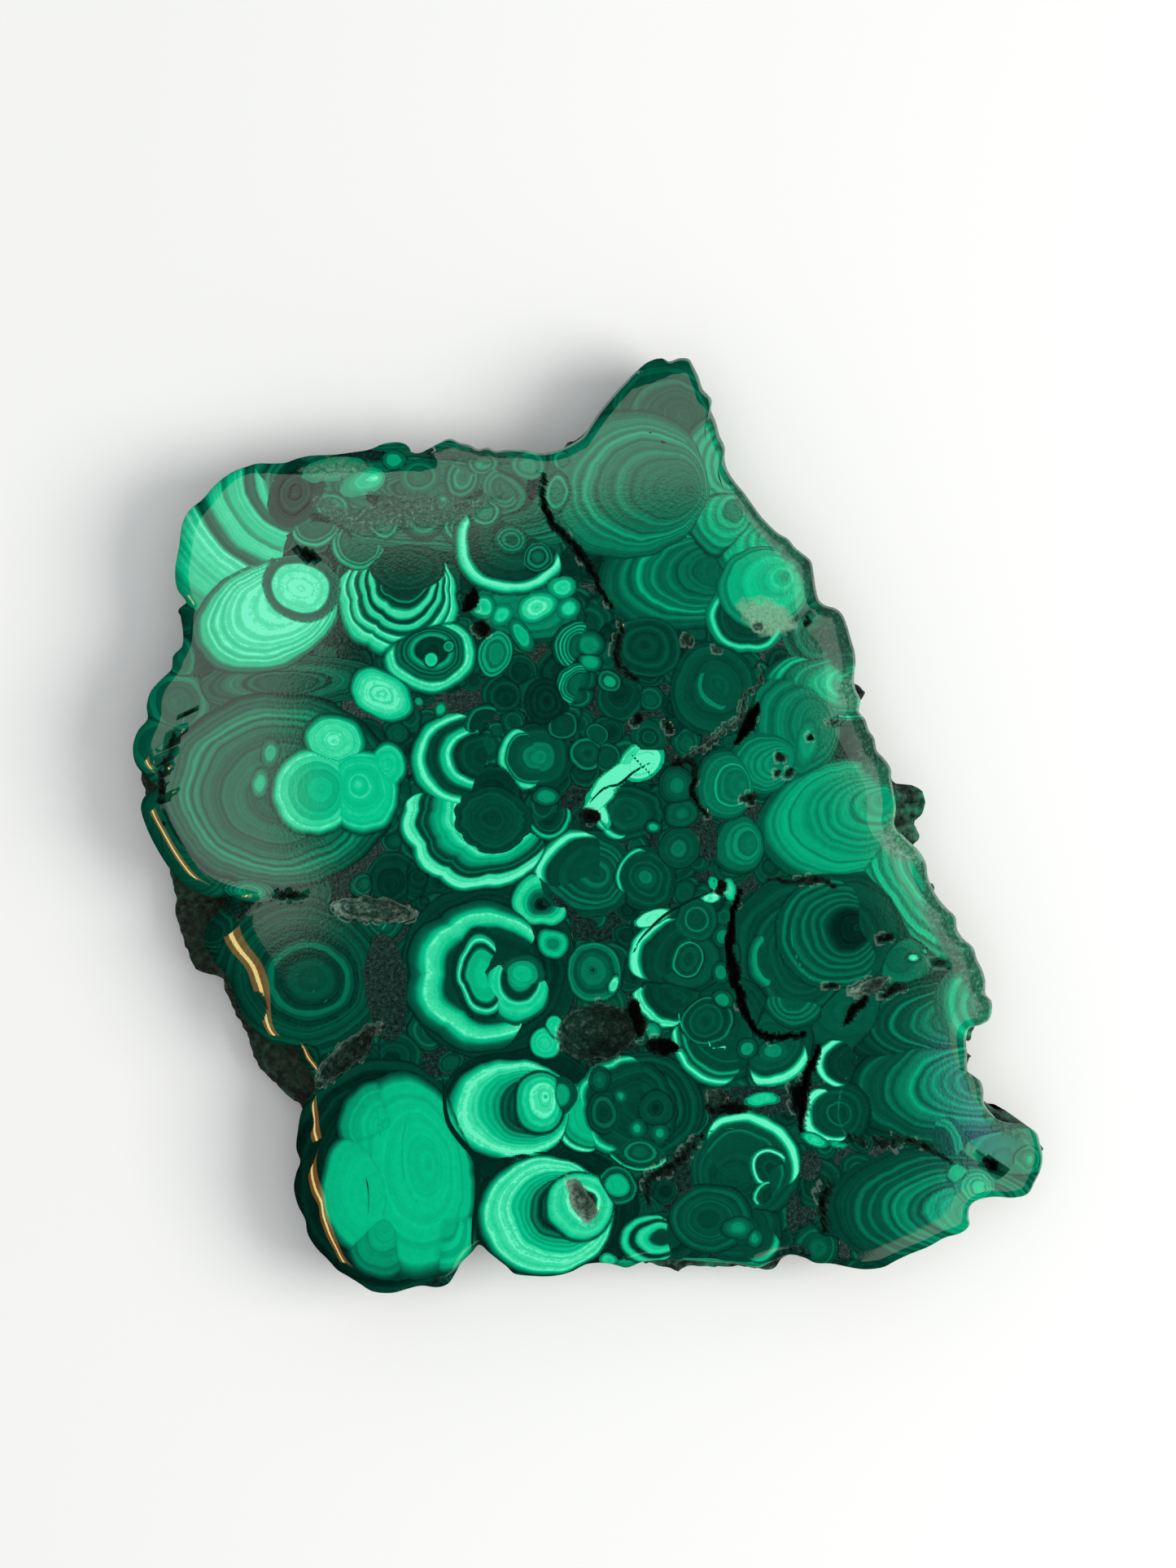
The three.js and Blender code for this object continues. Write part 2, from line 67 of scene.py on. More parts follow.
# The edge of the polished face in millimetres, counter-clockwise from the top of the left lobe.
FACE_EDGE = {
    "left lobe": [(-42, 43.9), (-43.8, 43.2), (-45.8, 41.7), (-47.4, 39.9), (-49, 38.6), (-49.9, 36.9),
        (-50.3, 34.2), (-50.8, 31), (-50.5, 28.8), (-49.4, 27.2), (-50.1, 26.5), (-49.8, 23.5), (-49.9, 21.8),
        (-51, 20.6)],
    "scalloped rim": [(-51.2, 19), (-52.4, 17.8), (-53.8, 16.2), (-54.3, 14.4), (-54.2, 12.9), (-55.4, 11.4),
        (-56, 9.5), (-55.7, 7.4), (-54.2, 5.6), (-53, 4.3), (-54.5, 3.4), (-55, 2), (-54.4, -0.5),
        (-53.2, -3), (-51.7, -5.4), (-50.2, -7.2), (-48, -8.6), (-45.8, -9.3), (-44.3, -9.2)],
    "eye growth": [(-45.8, -10.9), (-47.1, -12.4), (-47.5, -14.5), (-46.4, -16.8), (-44.5, -19),
        (-43.7, -21.2), (-42.8, -23.2), (-41.3, -25.2), (-39.5, -26.7), (-37.5, -27.4), (-35.8, -27.5),
        (-35.2, -29.3), (-34, -30.8), (-33.5, -32.5), (-34.5, -34)],
    "lower left growth": [(-35.3, -35.6), (-35.8, -38), (-36, -40.2), (-35.5, -41.8), (-36, -43.2),
        (-36.3, -45), (-35.8, -47.2), (-34.9, -49), (-34.6, -50.7), (-33.6, -52.3), (-32, -53.8),
        (-30.8, -55), (-29.4, -55.8), (-28, -56.7), (-26.5, -57.6), (-24, -57.8), (-22.2, -57.3),
        (-20.5, -56.9), (-18.5, -57.1), (-17.2, -56.7), (-16.3, -55.5), (-15.5, -54.1), (-14.2, -52.8)],
    "bottom": [(-13.3, -51.9), (-12.2, -52.8), (-10.8, -53.9), (-9.8, -54.7), (-9.1, -55.4), (-7, -55.7),
        (-4, -55.7), (-2, -55.2), (-0.2, -54.3), (1.5, -54.1), (3.2, -54.3), (4.8, -54.7), (7, -53.9),
        (11, -53.7), (15, -53.9), (18.5, -54.2), (21, -54.6), (23, -53.8), (24.8, -53.1), (26.5, -53.4),
        (28, -54.1), (30, -54.2), (32.5, -54.7), (34.2, -54.9), (36.5, -54.6), (37.8, -53.9), (39.5, -53.1),
        (42, -52.1), (44, -51), (46, -50.4)],
    "right spur": [(47, -49.5), (46.9, -48.4), (47, -47.3), (47.6, -46.6), (48.6, -46.2), (50.2, -46),
        (52.5, -46.1), (54.2, -45.6), (55, -44.2), (55.8, -42.5), (56, -41), (55.7, -39.5), (55.2, -38),
        (54.2, -37.8), (52.5, -37.6), (51, -36.9), (49.8, -35.8), (48.8, -34.5), (48.7, -32.8), (48.3, -31.6),
        (47, -31)],
    "right side": [(46.7, -29.8), (46.7, -28), (46.6, -26.5), (47, -25.2), (48.4, -24.8), (49.4, -24.2),
        (49.8, -22.8), (49.7, -21.8), (49, -21), (49, -19.5), (48.6, -18), (48, -16.8), (47.5, -15.3),
        (46.3, -14.2), (45.5, -13), (45.3, -11.5), (44.2, -10.4), (43.2, -9.2), (42.5, -8), (41.9, -6.5),
        (41.7, -5), (40.9, -3.5), (39.2, -1.8), (37.8, -0.2), (38, 1.5), (37.8, 3.5), (37.4, 5.2),
        (37.3, 6.8), (36.5, 8), (35.6, 9), (35.3, 10.5), (34.6, 11.5), (34.2, 12.8), (33.4, 13.8),
        (33.6, 15.2), (33, 16.5), (32.8, 17.8), (33, 19.5), (32.9, 21), (32.5, 22.5), (32, 24.2),
        (31.5, 25.5), (30.7, 26.4), (29.2, 26.9), (28.5, 27.5), (28.1, 29), (27.8, 31), (27.5, 32.3),
        (26.5, 33.2), (25.5, 34), (24.7, 35), (23.5, 35.7), (22.2, 36.9), (21.2, 38), (20.2, 39.4),
        (19.2, 40.8)],
    "peak": [(18.2, 42), (17.3, 43.4), (16.9, 44.8), (16.9, 46.4), (16.3, 47.7), (15.8, 49.5), (15.2, 51),
        (15.3, 52.2), (14.2, 53.5), (13.7, 55), (13, 56.4), (12.5, 57.2), (11.3, 57.3), (10, 56.9),
        (9.2, 57.3), (7.7, 57), (6, 55.7), (4.2, 54), (2.7, 52.3), (1.5, 50.8), (0.4, 49.2)],
    "top": [(-0.5, 47.8), (-2, 46.7), (-3.8, 45.9), (-5.8, 45.6), (-8, 46), (-10, 46), (-11.5, 45.9),
        (-12.2, 46.3), (-13.5, 46.1), (-14.5, 46.6), (-15.8, 46.9), (-16.8, 47.4), (-18, 47), (-19.5, 46.2),
        (-20.8, 45.6), (-21.8, 45.8), (-22.1, 46.5), (-23.2, 47), (-25.2, 46.8), (-26.8, 46.1), (-29, 45.7),
        (-31.5, 45.4), (-34, 45.3), (-35.8, 44.9), (-37.2, 44.4), (-39, 44.3), (-40.6, 44.3)],
}
EDGE_POINTS = [point for part in FACE_EDGE.values() for point in part]

# Where the polish rolls over further than the eased edge: place, reach, width and drop.
ROLLS = [
    ((-50, 33), 11, 2.2, 1.6),
    ((-56, 9), 9, 2.4, 1.8),
    ((-52, -4), 8, 2.8, 2.8),
    ((-45, -17), 12, 6.2, 4.2),
    ((-36, -45), 13, 5, 4),
    ((44, -10), 22, 4.2, 1.5),
    ((33, 18), 22, 4, 1.4),
    ((8, 50), 16, 3, 1.6),
]

# Rough stone that stands out past the polished face: the height of its top, and its edge.
LEDGES = {
    "rim notch": (8, [(-56, 7.5), (-55.4, 6), (-55.2, 4.8), (-55.1, 3.5), (-55, 2)]),
    "left spike": (7, [(-50.1, 27.4), (-51, 26.6), (-51, 26), (-50, 25.2)]),
    "lower left": (4.6, [(-52.3, -4.6), (-51.9, -7.5), (-51.6, -10), (-51.1, -12.8), (-50.7, -14.5),
        (-50.2, -16.8), (-49.4, -18.4), (-47.5, -19), (-45.8, -19.5), (-45.1, -21.5), (-44.3, -23.3),
        (-43.2, -25.2), (-42.2, -27.4), (-41.6, -29.5), (-40.8, -31), (-39.4, -32.4), (-37.7, -33.8),
        (-36.3, -34.8), (-35.3, -35.8)]),
    "bottom skirt": (7.4, [(4.8, -54.8), (8, -54.8), (9.5, -55.3), (11.2, -55.7), (12.5, -55.1), (15, -55.1),
        (18, -55.3), (20, -55), (21.2, -55.4), (22.5, -55.6), (23.5, -55.1), (24.5, -54.3), (25.5, -54),
        (27, -54.4), (28.2, -54.3)]),
    "bottom knob": (6, [(47.9, -46.5), (48.3, -47.1), (48.8, -47.4), (49.3, -47), (49.7, -46.2)]),
    "spur tip": (8.5, [(56, -41.4), (56.4, -40.8), (56.5, -40.3), (55.9, -39.5)]),
    "right spike": (7, [(46.8, -30.2), (47.5, -29.6), (48.1, -29), (47.3, -28.6), (46.7, -28.2)]),
    "crystal patch": (8.6, [(47, -27.2), (47.6, -26.5), (48.6, -25.2), (49.6, -24)]),
    "side knob": (8, [(42.9, -8.7), (43.3, -7.8), (42.8, -7.3), (42, -7.5)]),
    "round lobe": (10.2, [(40.6, -3), (41.1, -2), (41, 0.2), (42.1, 1.5), (42.3, 3), (41.8, 4.2), (40.5, 5),
        (38.3, 5), (37.4, 6.2)]),
    "crystal knob": (9, [(33.6, 14.2), (34, 15.3), (34.7, 16.2), (34.1, 17.2), (32.9, 17.5)]),
    "peak flank": (7.5, [(0.2, 49), (-0.4, 48.6), (-1.6, 47.8), (-2.3, 47.7), (-3, 46.7), (-4, 45.9)]),
}

# Open hollows between the growths: middle, size of the oval mouth, turn in degrees, depth, and how
# pale the floor is, from 0 for black, which is painted shade of a deep opening, to 1 for tan grit.
HOLLOWS = [
    ((1.2, -25.6), (9.8, 6.6), 8, 4.2, 0.42),
    ((5.8, -23.8), (1.9, 4.6), 12, 3, 0.02),
    ((9.2, -27.4), (4, 1.9), -6, 3, 0.02),
    ((-26.4, -10.6), (10.2, 3), -4, 2.6, 0.66),
    ((-0.8, -46.2), (2.6, 5.4), 24, 2.2, 0.85),
    ((49.7, -42), (1.8, 2.2), 0, 3.4, 0.05),
    ((34.8, -20), (4.8, 1.3), 22, 1.6, 0.66),
    ((37.3, -20.5), (3.2, 1), 26, 1.6, 0.3),
    ((15.8, -33.6), (2.8, 2.4), 0, 1.6, 0.5),
    ((17, -35.1), (5, 1.2), -2, 2.2, 0.03),
    ((25.7, -33.8), (1.5, 3.6), 4, 2.6, 0.03),
    ((-13.1, 23.9), (1.7, 1.7), 0, 1.6, 0.1),
    ((-14.4, 27.2), (1.8, 2.8), -20, 2.6, 0.05),
    ((0.2, 0.8), (2.8, 1.8), -15, 2.4, 0.25),
    ((-34.4, 33), (3.4, 1.3), -22, 2.4, 0.2),
    ((-29.6, -28.4), (11, 2.8), 42, 3.6, 0.58),
    ((6, 12.8), (1.2, 1.7), -20, 0.9, 0.1),
    ((10, 11.8), (0.8, 1.8), 35, 0.8, 0.1),
    ((19.8, 3.1), (2, 1.2), 20, 0.8, 0.25),
    ((23.7, 8.2), (1.4, 0.6), -40, 0.6, 0.15),
    ((23.2, 6.4), (0.7, 0.6), 0, 0.5, 0.2),
    ((24.9, 6.2), (1.6, 0.5), 20, 0.6, 0.1),
    ((27.3, 10.5), (0.7, 0.8), 0, 0.6, 0.05),
    ((26.9, 24.8), (1.1, 1.2), 0, 1, 0.02),
    ((20.7, 24.3), (1.4, 0.9), -40, 0.6, 0.6),
    ((15.9, 21.6), (1, 0.5), 0, 0.5, 0.35),
    ((12.2, 22.4), (0.7, 1), -20, 0.5, 0.3),
    ((30.4, 12.4), (2.4, 0.6), 12, 0.5, 0.6),
    ((36.6, -14), (2, 0.8), 30, 0.6, 0.1),
    ((30, -20), (1.5, 0.6), 10, 0.6, 0.1),
    ((43.4, -17.2), (1.6, 0.5), 5, 0.5, 0.1),
    ((16.3, -7.8), (1, 1.9), -15, 1, 0.05),
    ((11, 7.6), (1.6, 0.7), 12, 0.8, 0.05),
    ((-36.6, -8.9), (4.6, 0.8), -4, 0.8, 0.15),
]

# Open cracks: widest opening, depth, how pale the floor is (dark is painted shade), and points along the
# crack.
CRACKS = {
    "long arc": (1, 2.4, 0.04, [(18.6, -8.2), (17.7, -11.5), (17.5, -15), (18.2, -19.5), (19.5, -23.8),
        (21, -25.8), (23.6, -26.4), (26.8, -25.8)]),
    "top arc": (0.85, 1.4, 0.1, [(-5.4, 43), (-5.3, 40), (-4.9, 37.8), (-3.2, 35.8), (-1.4, 33.8),
        (0.2, 31.8), (1.2, 29.4), (3, 26.8)]),
    "black wedge": (1.3, 3, 0.02, [(20.8, 14.8), (20.1, 13), (18.9, 11.2), (17.9, 10)]),
    "grey seam": (0.5, 0.5, 0.5, [(21.2, 19.6), (20.9, 17.2), (19.6, 15.8), (19, 13.4), (17.4, 11.8),
        (15.4, 10.4), (13.4, 8.8), (10.8, 7.4)]),
    "inner fissure": (0.6, 0.8, 0.04, [(11.2, 7.2), (12.7, 7.4), (13.1, 5.8), (12.8, 4), (13.4, 2.2),
        (14.9, 0.6)]),
    "slant fissure": (1, 1.8, 0.06, [(34.2, -21.4), (32.8, -22.8), (31.6, -24.8)]),
    "middle right": (0.55, 0.7, 0.2, [(22.2, -6.6), (25, -7.2), (28.4, -6.8), (31, -7.8)]),
    "lower right": (0.65, 0.8, 0.15, [(31.6, -38.7), (34.4, -39.1), (38, -39), (40.4, -39.2), (42, -40.3),
        (44.2, -41.2)]),
    "lower middle": (0.65, 0.8, 0.1, [(14.3, -38.3), (12.8, -39.8), (10.8, -41.8), (7.8, -43.8),
        (7.3, -47.3)]),
    "lower upright": (0.7, 0.9, 0.04, [(30.6, -43.2), (29.3, -45.4), (28.8, -47.6), (29.2, -50.4)]),
    "bright rim": (1.1, 3, 0.02, [(28.4, -27.8), (27.2, -30.8), (26.5, -34), (26.2, -37.8)]),
    "stem": (0.8, 1, 0.2, [(4.4, 24.2), (3.6, 22.4), (3.7, 20.4), (4.4, 18.6), (6.4, 17.6)]),
    "rim arc": (0.6, 1, 0.1, [(-48.4, 14.2), (-50.4, 11.8), (-51.6, 9), (-52.4, 6.2), (-52.5, 3.6),
        (-52.1, 1.2), (-50.8, -1.6)]),
}

# Strips where the face meets the weathered skin of the stone: width, how pale, and points along each.
RINDS = {
    "peak flank": (2.6, 0.4, [(15.4, 53), (16, 49.6), (16.8, 46.4), (17.4, 43.6)]),
    "shoulder": (4.6, 0.4, [(17, 44.6), (18.8, 41.6), (21.8, 38), (25.2, 34.6), (27, 32.2), (27.6, 29.4),
        (28.4, 27)]),
    "right bulge": (6.4, 0.4, [(29.6, 27.4), (31, 24.4), (31.4, 21.4), (31.6, 18.6)]),
    "foot of the bands": (4, 0.6, [(32, 18.6), (32.2, 16.2), (32.6, 14)]),
    "below the bands": (5.4, 0.45, [(33, 13), (34.6, 10), (36.4, 7), (37.8, 4.4)]),
    "side grit": (5, 0.7, [(38.2, 1.4), (38.4, -1.6), (40.6, -4.4)]),
    "lower side": (6, 0.5, [(41.2, -5), (43.6, -9.6), (45.6, -13.4), (47.8, -17.4), (48.6, -20.8),
        (48, -24)]),
    "mottled foot": (4.4, 0.95, [(19.2, 26.8), (21.8, 25.4), (25, 24.4)]),
    "spur skin": (2, 0.5, [(48, -25), (46.8, -29), (48.6, -33), (51, -37.4), (54.6, -38.4)]),
    "upper mud": (4.4, 0.5, [(-33.6, 40), (-28.6, 37.2), (-22.6, 38.6), (-16.6, 38.4), (-11.4, 40.4)]),
    "olive facet": (2.4, 0.7, [(-35, 43.4), (-31, 43.6), (-27, 43.8)]),
    "top edge": (2, 0.3, [(-22, 45.6), (-15, 45.4), (-8, 45)]),
}

# Broken facets that slope away from the face: a line across the face, and the slope in degrees.
CHIPS = [
    ((-39, 43.2), (-21, 43.6), 36),
    ((3.4, 53), (10.6, 55.6), 42),
]


# How softly one tone passes into the next, as a share of the way out: always, and for each step of tone;
# and at most, as a share of the band.
BAND_EDGE = (0.008, 0.045)
WIDEST_EDGE = 0.45
PALEST = 9  # the number of the palest tone
MATRIX_TONE = -0.3  # what stands for bare matrix among the tones


def growth(
    at, radii, bands, turn=0, eye=None, scallops=0, depth=0.08, fan=None, grain=(0.7, 0.09), seam=0.45,
):
    """One round growth of banded stone, cut through by the face.

    bands reads outwards from the eye: a tone from 0 (dark) to 9 (pale), then the share of the way
    to the outline in per cent where it ends, and so on; 8-3 is a tone that changes on the way and
    m is bare matrix. fan gives the two directions in degrees between which the growth shows, grain
    the spacing in millimetres and the strength of its finest rings, and seam how dark its border is.
    """
    radii = (radii, radii) if isinstance(radii, (int, float)) else radii
    return {
        "at": at, "radii": radii, "turn": math.radians(turn), "eye": eye or at, "scallops": scallops,
        "depth": depth, "fan": fan, "grain": grain, "profile": profile(bands),
        "size": 0.5 * (radii[0] + radii[1]), "seam": seam,
    }


def softness(step, width):
    """How far inside its end a band passes into the next, from the step of tone and the band's width."""
    return min(BAND_EDGE[0] + BAND_EDGE[1] * abs(step), WIDEST_EDGE * width)


def profile(bands):
    """The places of a growth's tone steps, from 0 at the eye to 1 at the outline, and the tones there."""
    words = bands.split()
    ends = [0.0] + [float(word) / 100 for word in words[1::2]]
    tones = []
    for tone in words[0::2]:
        both = [MATRIX_TONE] if tone == "m" else [float(part) / PALEST for part in tone.split("-")]
        tones.append((both[0], both[-1]))
    if len(ends) == len(tones):
        ends.append(1.0)
    places = []
    values = []
    for k, (first, last) in enumerate(tones):
        width = ends[k + 1] - ends[k]
        before = tones[k - 1][1] if k else first
        after = tones[k + 1][0] if k + 1 < len(tones) else last
        soft_start = softness(first - before, width) if k else 0
        places += [ends[k] + soft_start, ends[k + 1] - softness(after - last, width)]
        values += [first, last]
    return np.array(places), np.array(values)


# The growths that show on the face. A later layer lies over the ones before it, and within a
# layer two growths meet where they have come equally far.
GROUND = {
    "corner fan": growth((-35, 42.5), (22, 20.5), "1.4 16 2.2 19 4 22 8.4 26 7 27.5 3 29 3.6 31 2.6 33.5 8.7 "
        "35 7.8 44 5 45 8.2 47 8.4 55 3.2 57 2.6 61.5 8.7 63.5 8.7 74 8 90 6", fan=(150, 256),
        grain=(0.6, 0.12)),
    "middle arcs": growth((12.4, 30.4), (11.4, 6.7), "3.4 36 4 42 3.4 48 4.2 52 3.4 59 5.8 61.5 3.6 64 3.8 "
        "68 6.6 71 4 74 3.4 79 4.8 82 3.4 92 2.4", eye=(18.4, 31.6), turn=6, seam=0.8, grain=(0.5, 0.12)),
    "peak arcs": growth((16.5, 50.5), 6, "5 42 8 50 4.5 55 6 75 4"),
    "right bands": growth((30.4, 16.8), (9.2, 4.5), "6 26 7.4 32 6.2 38 7.8 46 6.6 56 5 61 4.4 67 6 71 4 79 "
        "3.4 83 8 88 4 91 6.4 94 2.6", eye=(35, 17.2), turn=-4, seam=0.8, grain=(0.5, 0.14)),
    "right upper plain": growth((25, 12), (6, 7.6), "4.4 50 4.8 60 4 70 4.4 80 3.4 94 2.4", eye=(29, 12),
        seam=0.9, grain=(0.5, 0.2)),
    "side arcs": growth((31.8, 0.4), (11, 7.5), "5.6 20 6.2 26 5.4 32 6.4 36 5.4 41 6 46 5.2 50 6 54 5 58 6 "
        "62 5.2 66 6.8 69 6.2 74 5.2 77 6.6 81 6 85 4.8 88 5.4 91 4.4 95 3", eye=(37.2, 3), turn=10, seam=0.8,
        grain=(0.5, 0.14)),
    "rim lobe one": growth((-49.9, 20.5), (1.8, 2.8), "3.5 70 4.5 85 3.5"),
    "rim lobe two": growth((-50.3, 14.8), 4.1, "3 70 4.5 85 3.5"),
    "rim lobe three": growth((-52.6, 9.3), 3.8, "3 70 4 85 3.5"),
    "rim strip": growth((-49.5, -1.5), (7.5, 9.5), "2.6 88 3.6 93 2.6", grain=(0.45, 0.12)),
    "eye halo": growth((-35, -18.8), (10.6, 9.8), "2 70 3 74 2 82 2.8 86 1.8 94 2.4", turn=-8,
        grain=(0.45, 0.14)),
    "lower left halo": growth((-25, -43.6), (12.2, 14.6), "0.9 78 1.4 82 0.7 92 1.8"),
    "middle halo": growth((-8, -36), (10.5, 8.8), "1"),
    "figure halo": growth((-12, -18), (11, 11), "1.8 50 1.2 80 1.6"),
    "vug halo": growth((-4, -48), (10.4, 8.6), "1"),
    "crack neighbour": growth((25.6, -16.4), (8.6, 10.2), "2.6 30 2.2 40 3 46 2.2 56 3 62 2 76 2.8 84 2",
        eye=(27, -16), grain=(0.5, 0.1)),
    "wavy arcs": growth((42.4, -6.2), (13.6, 8), "5.4 40 6.4 46 5 52 7.2 58 5 64 6.6 70 4.6 76 7.4 82 4.8 88 "
        "6 92 3", eye=(45, -4.6), turn=-54, seam=0.8, grain=(0.45, 0.16)),
    "lower side": growth((38.5, -17), (5, 4), "3.4 40 4 70 3"),
    "spur upper": growth((43.4, -24.2), (13, 6.2), "3.8 26 4.8 30 3.6 34 4.8 38 3.4 43 4.4 46 2.8 52 2.4 57 "
        "5 60 2.4 63 2 72 3.8 75 2 82 1.6 90 1.4", eye=(47.6, -24), turn=4, seam=0.8, grain=(0.5, 0.12)),
    "spur middle": growth((45.8, -32.2), (14.4, 8), "4.2 22 5 26 4 30 5.6 34 4 38 6 42 4 46 5.4 49 3.4 54 "
        "6.4 58 3.8 62 5 65 2.8 70 4.4 73 2.4 82 2.8 90 1.4", eye=(50, -31.6), turn=4, seam=0.8,
        grain=(0.5, 0.12)),
    "spur lower": growth((44.4, -47.4), (15, 8.2), "5 12 5.8 38 3.2 42 4 45 3.2 48 5.6 51 3.6 55 5.6 58 3.2 "
        "62 4.8 65 2.8 70 3.8 73 2.4 79 4.2 82 2 92 1.8", eye=(48.4, -47.6), seam=0.8, grain=(0.5, 0.12)),
    "spur end": growth((51, -41), (6.5, 6), "4.5 50 5 80 4"),
    "bottom band": growth((12, -56), (22, 2.6), "6 60 5 80 6", grain=(0.3, 0.2)),
    "top mud": growth((-20, 41), (24, 7.4), "3.2 30 3.6 50 3 70 3.6", turn=-4, grain=(0.6, 0.3), seam=0.8),
    "left mud": growth((-37, 17.3), (11.4, 3.4), "2.6 50 3.4 70 2.4", turn=3, grain=(0.5, 0.24)),
    "peak ground": growth((8, 51), (9.6, 8.4), "2.6 40 3.4 50 2.6 60 3.8 66 2.6 80 3.2 90 2", eye=(12, 50),
        grain=(0.5, 0.16)),
    "teal ground": growth((32, -23), (7, 5), "3 60 2.6 90 2", grain=(0.9, 0.06)),
    "shaded arcs": growth((-0.6, -4.8), (4.6, 4), "2.2 40 3.2 48 2 56 3.6 64 2.2 74 3.4 82 1.8 92 3",
        eye=(0.6, -4.4), grain=(0.5, 0.1)),
    "right grey": growth((28.4, 23), (4.6, 4), "3.4 80 3.2", grain=(0.9, 0.2), seam=1),
    "dark scalloped body": growth((6.3, -34.8), (7.9, 6.8), "1.6 60 2.4 70 1.8 84 2.6 92 1.8",
        grain=(0.5, 0.12)),
    "big eye ground": growth((31, -13.4), (9.6, 8.4), "2 60 2.6 74 2 86 2.6 92 1.8", seam=0.8),
}

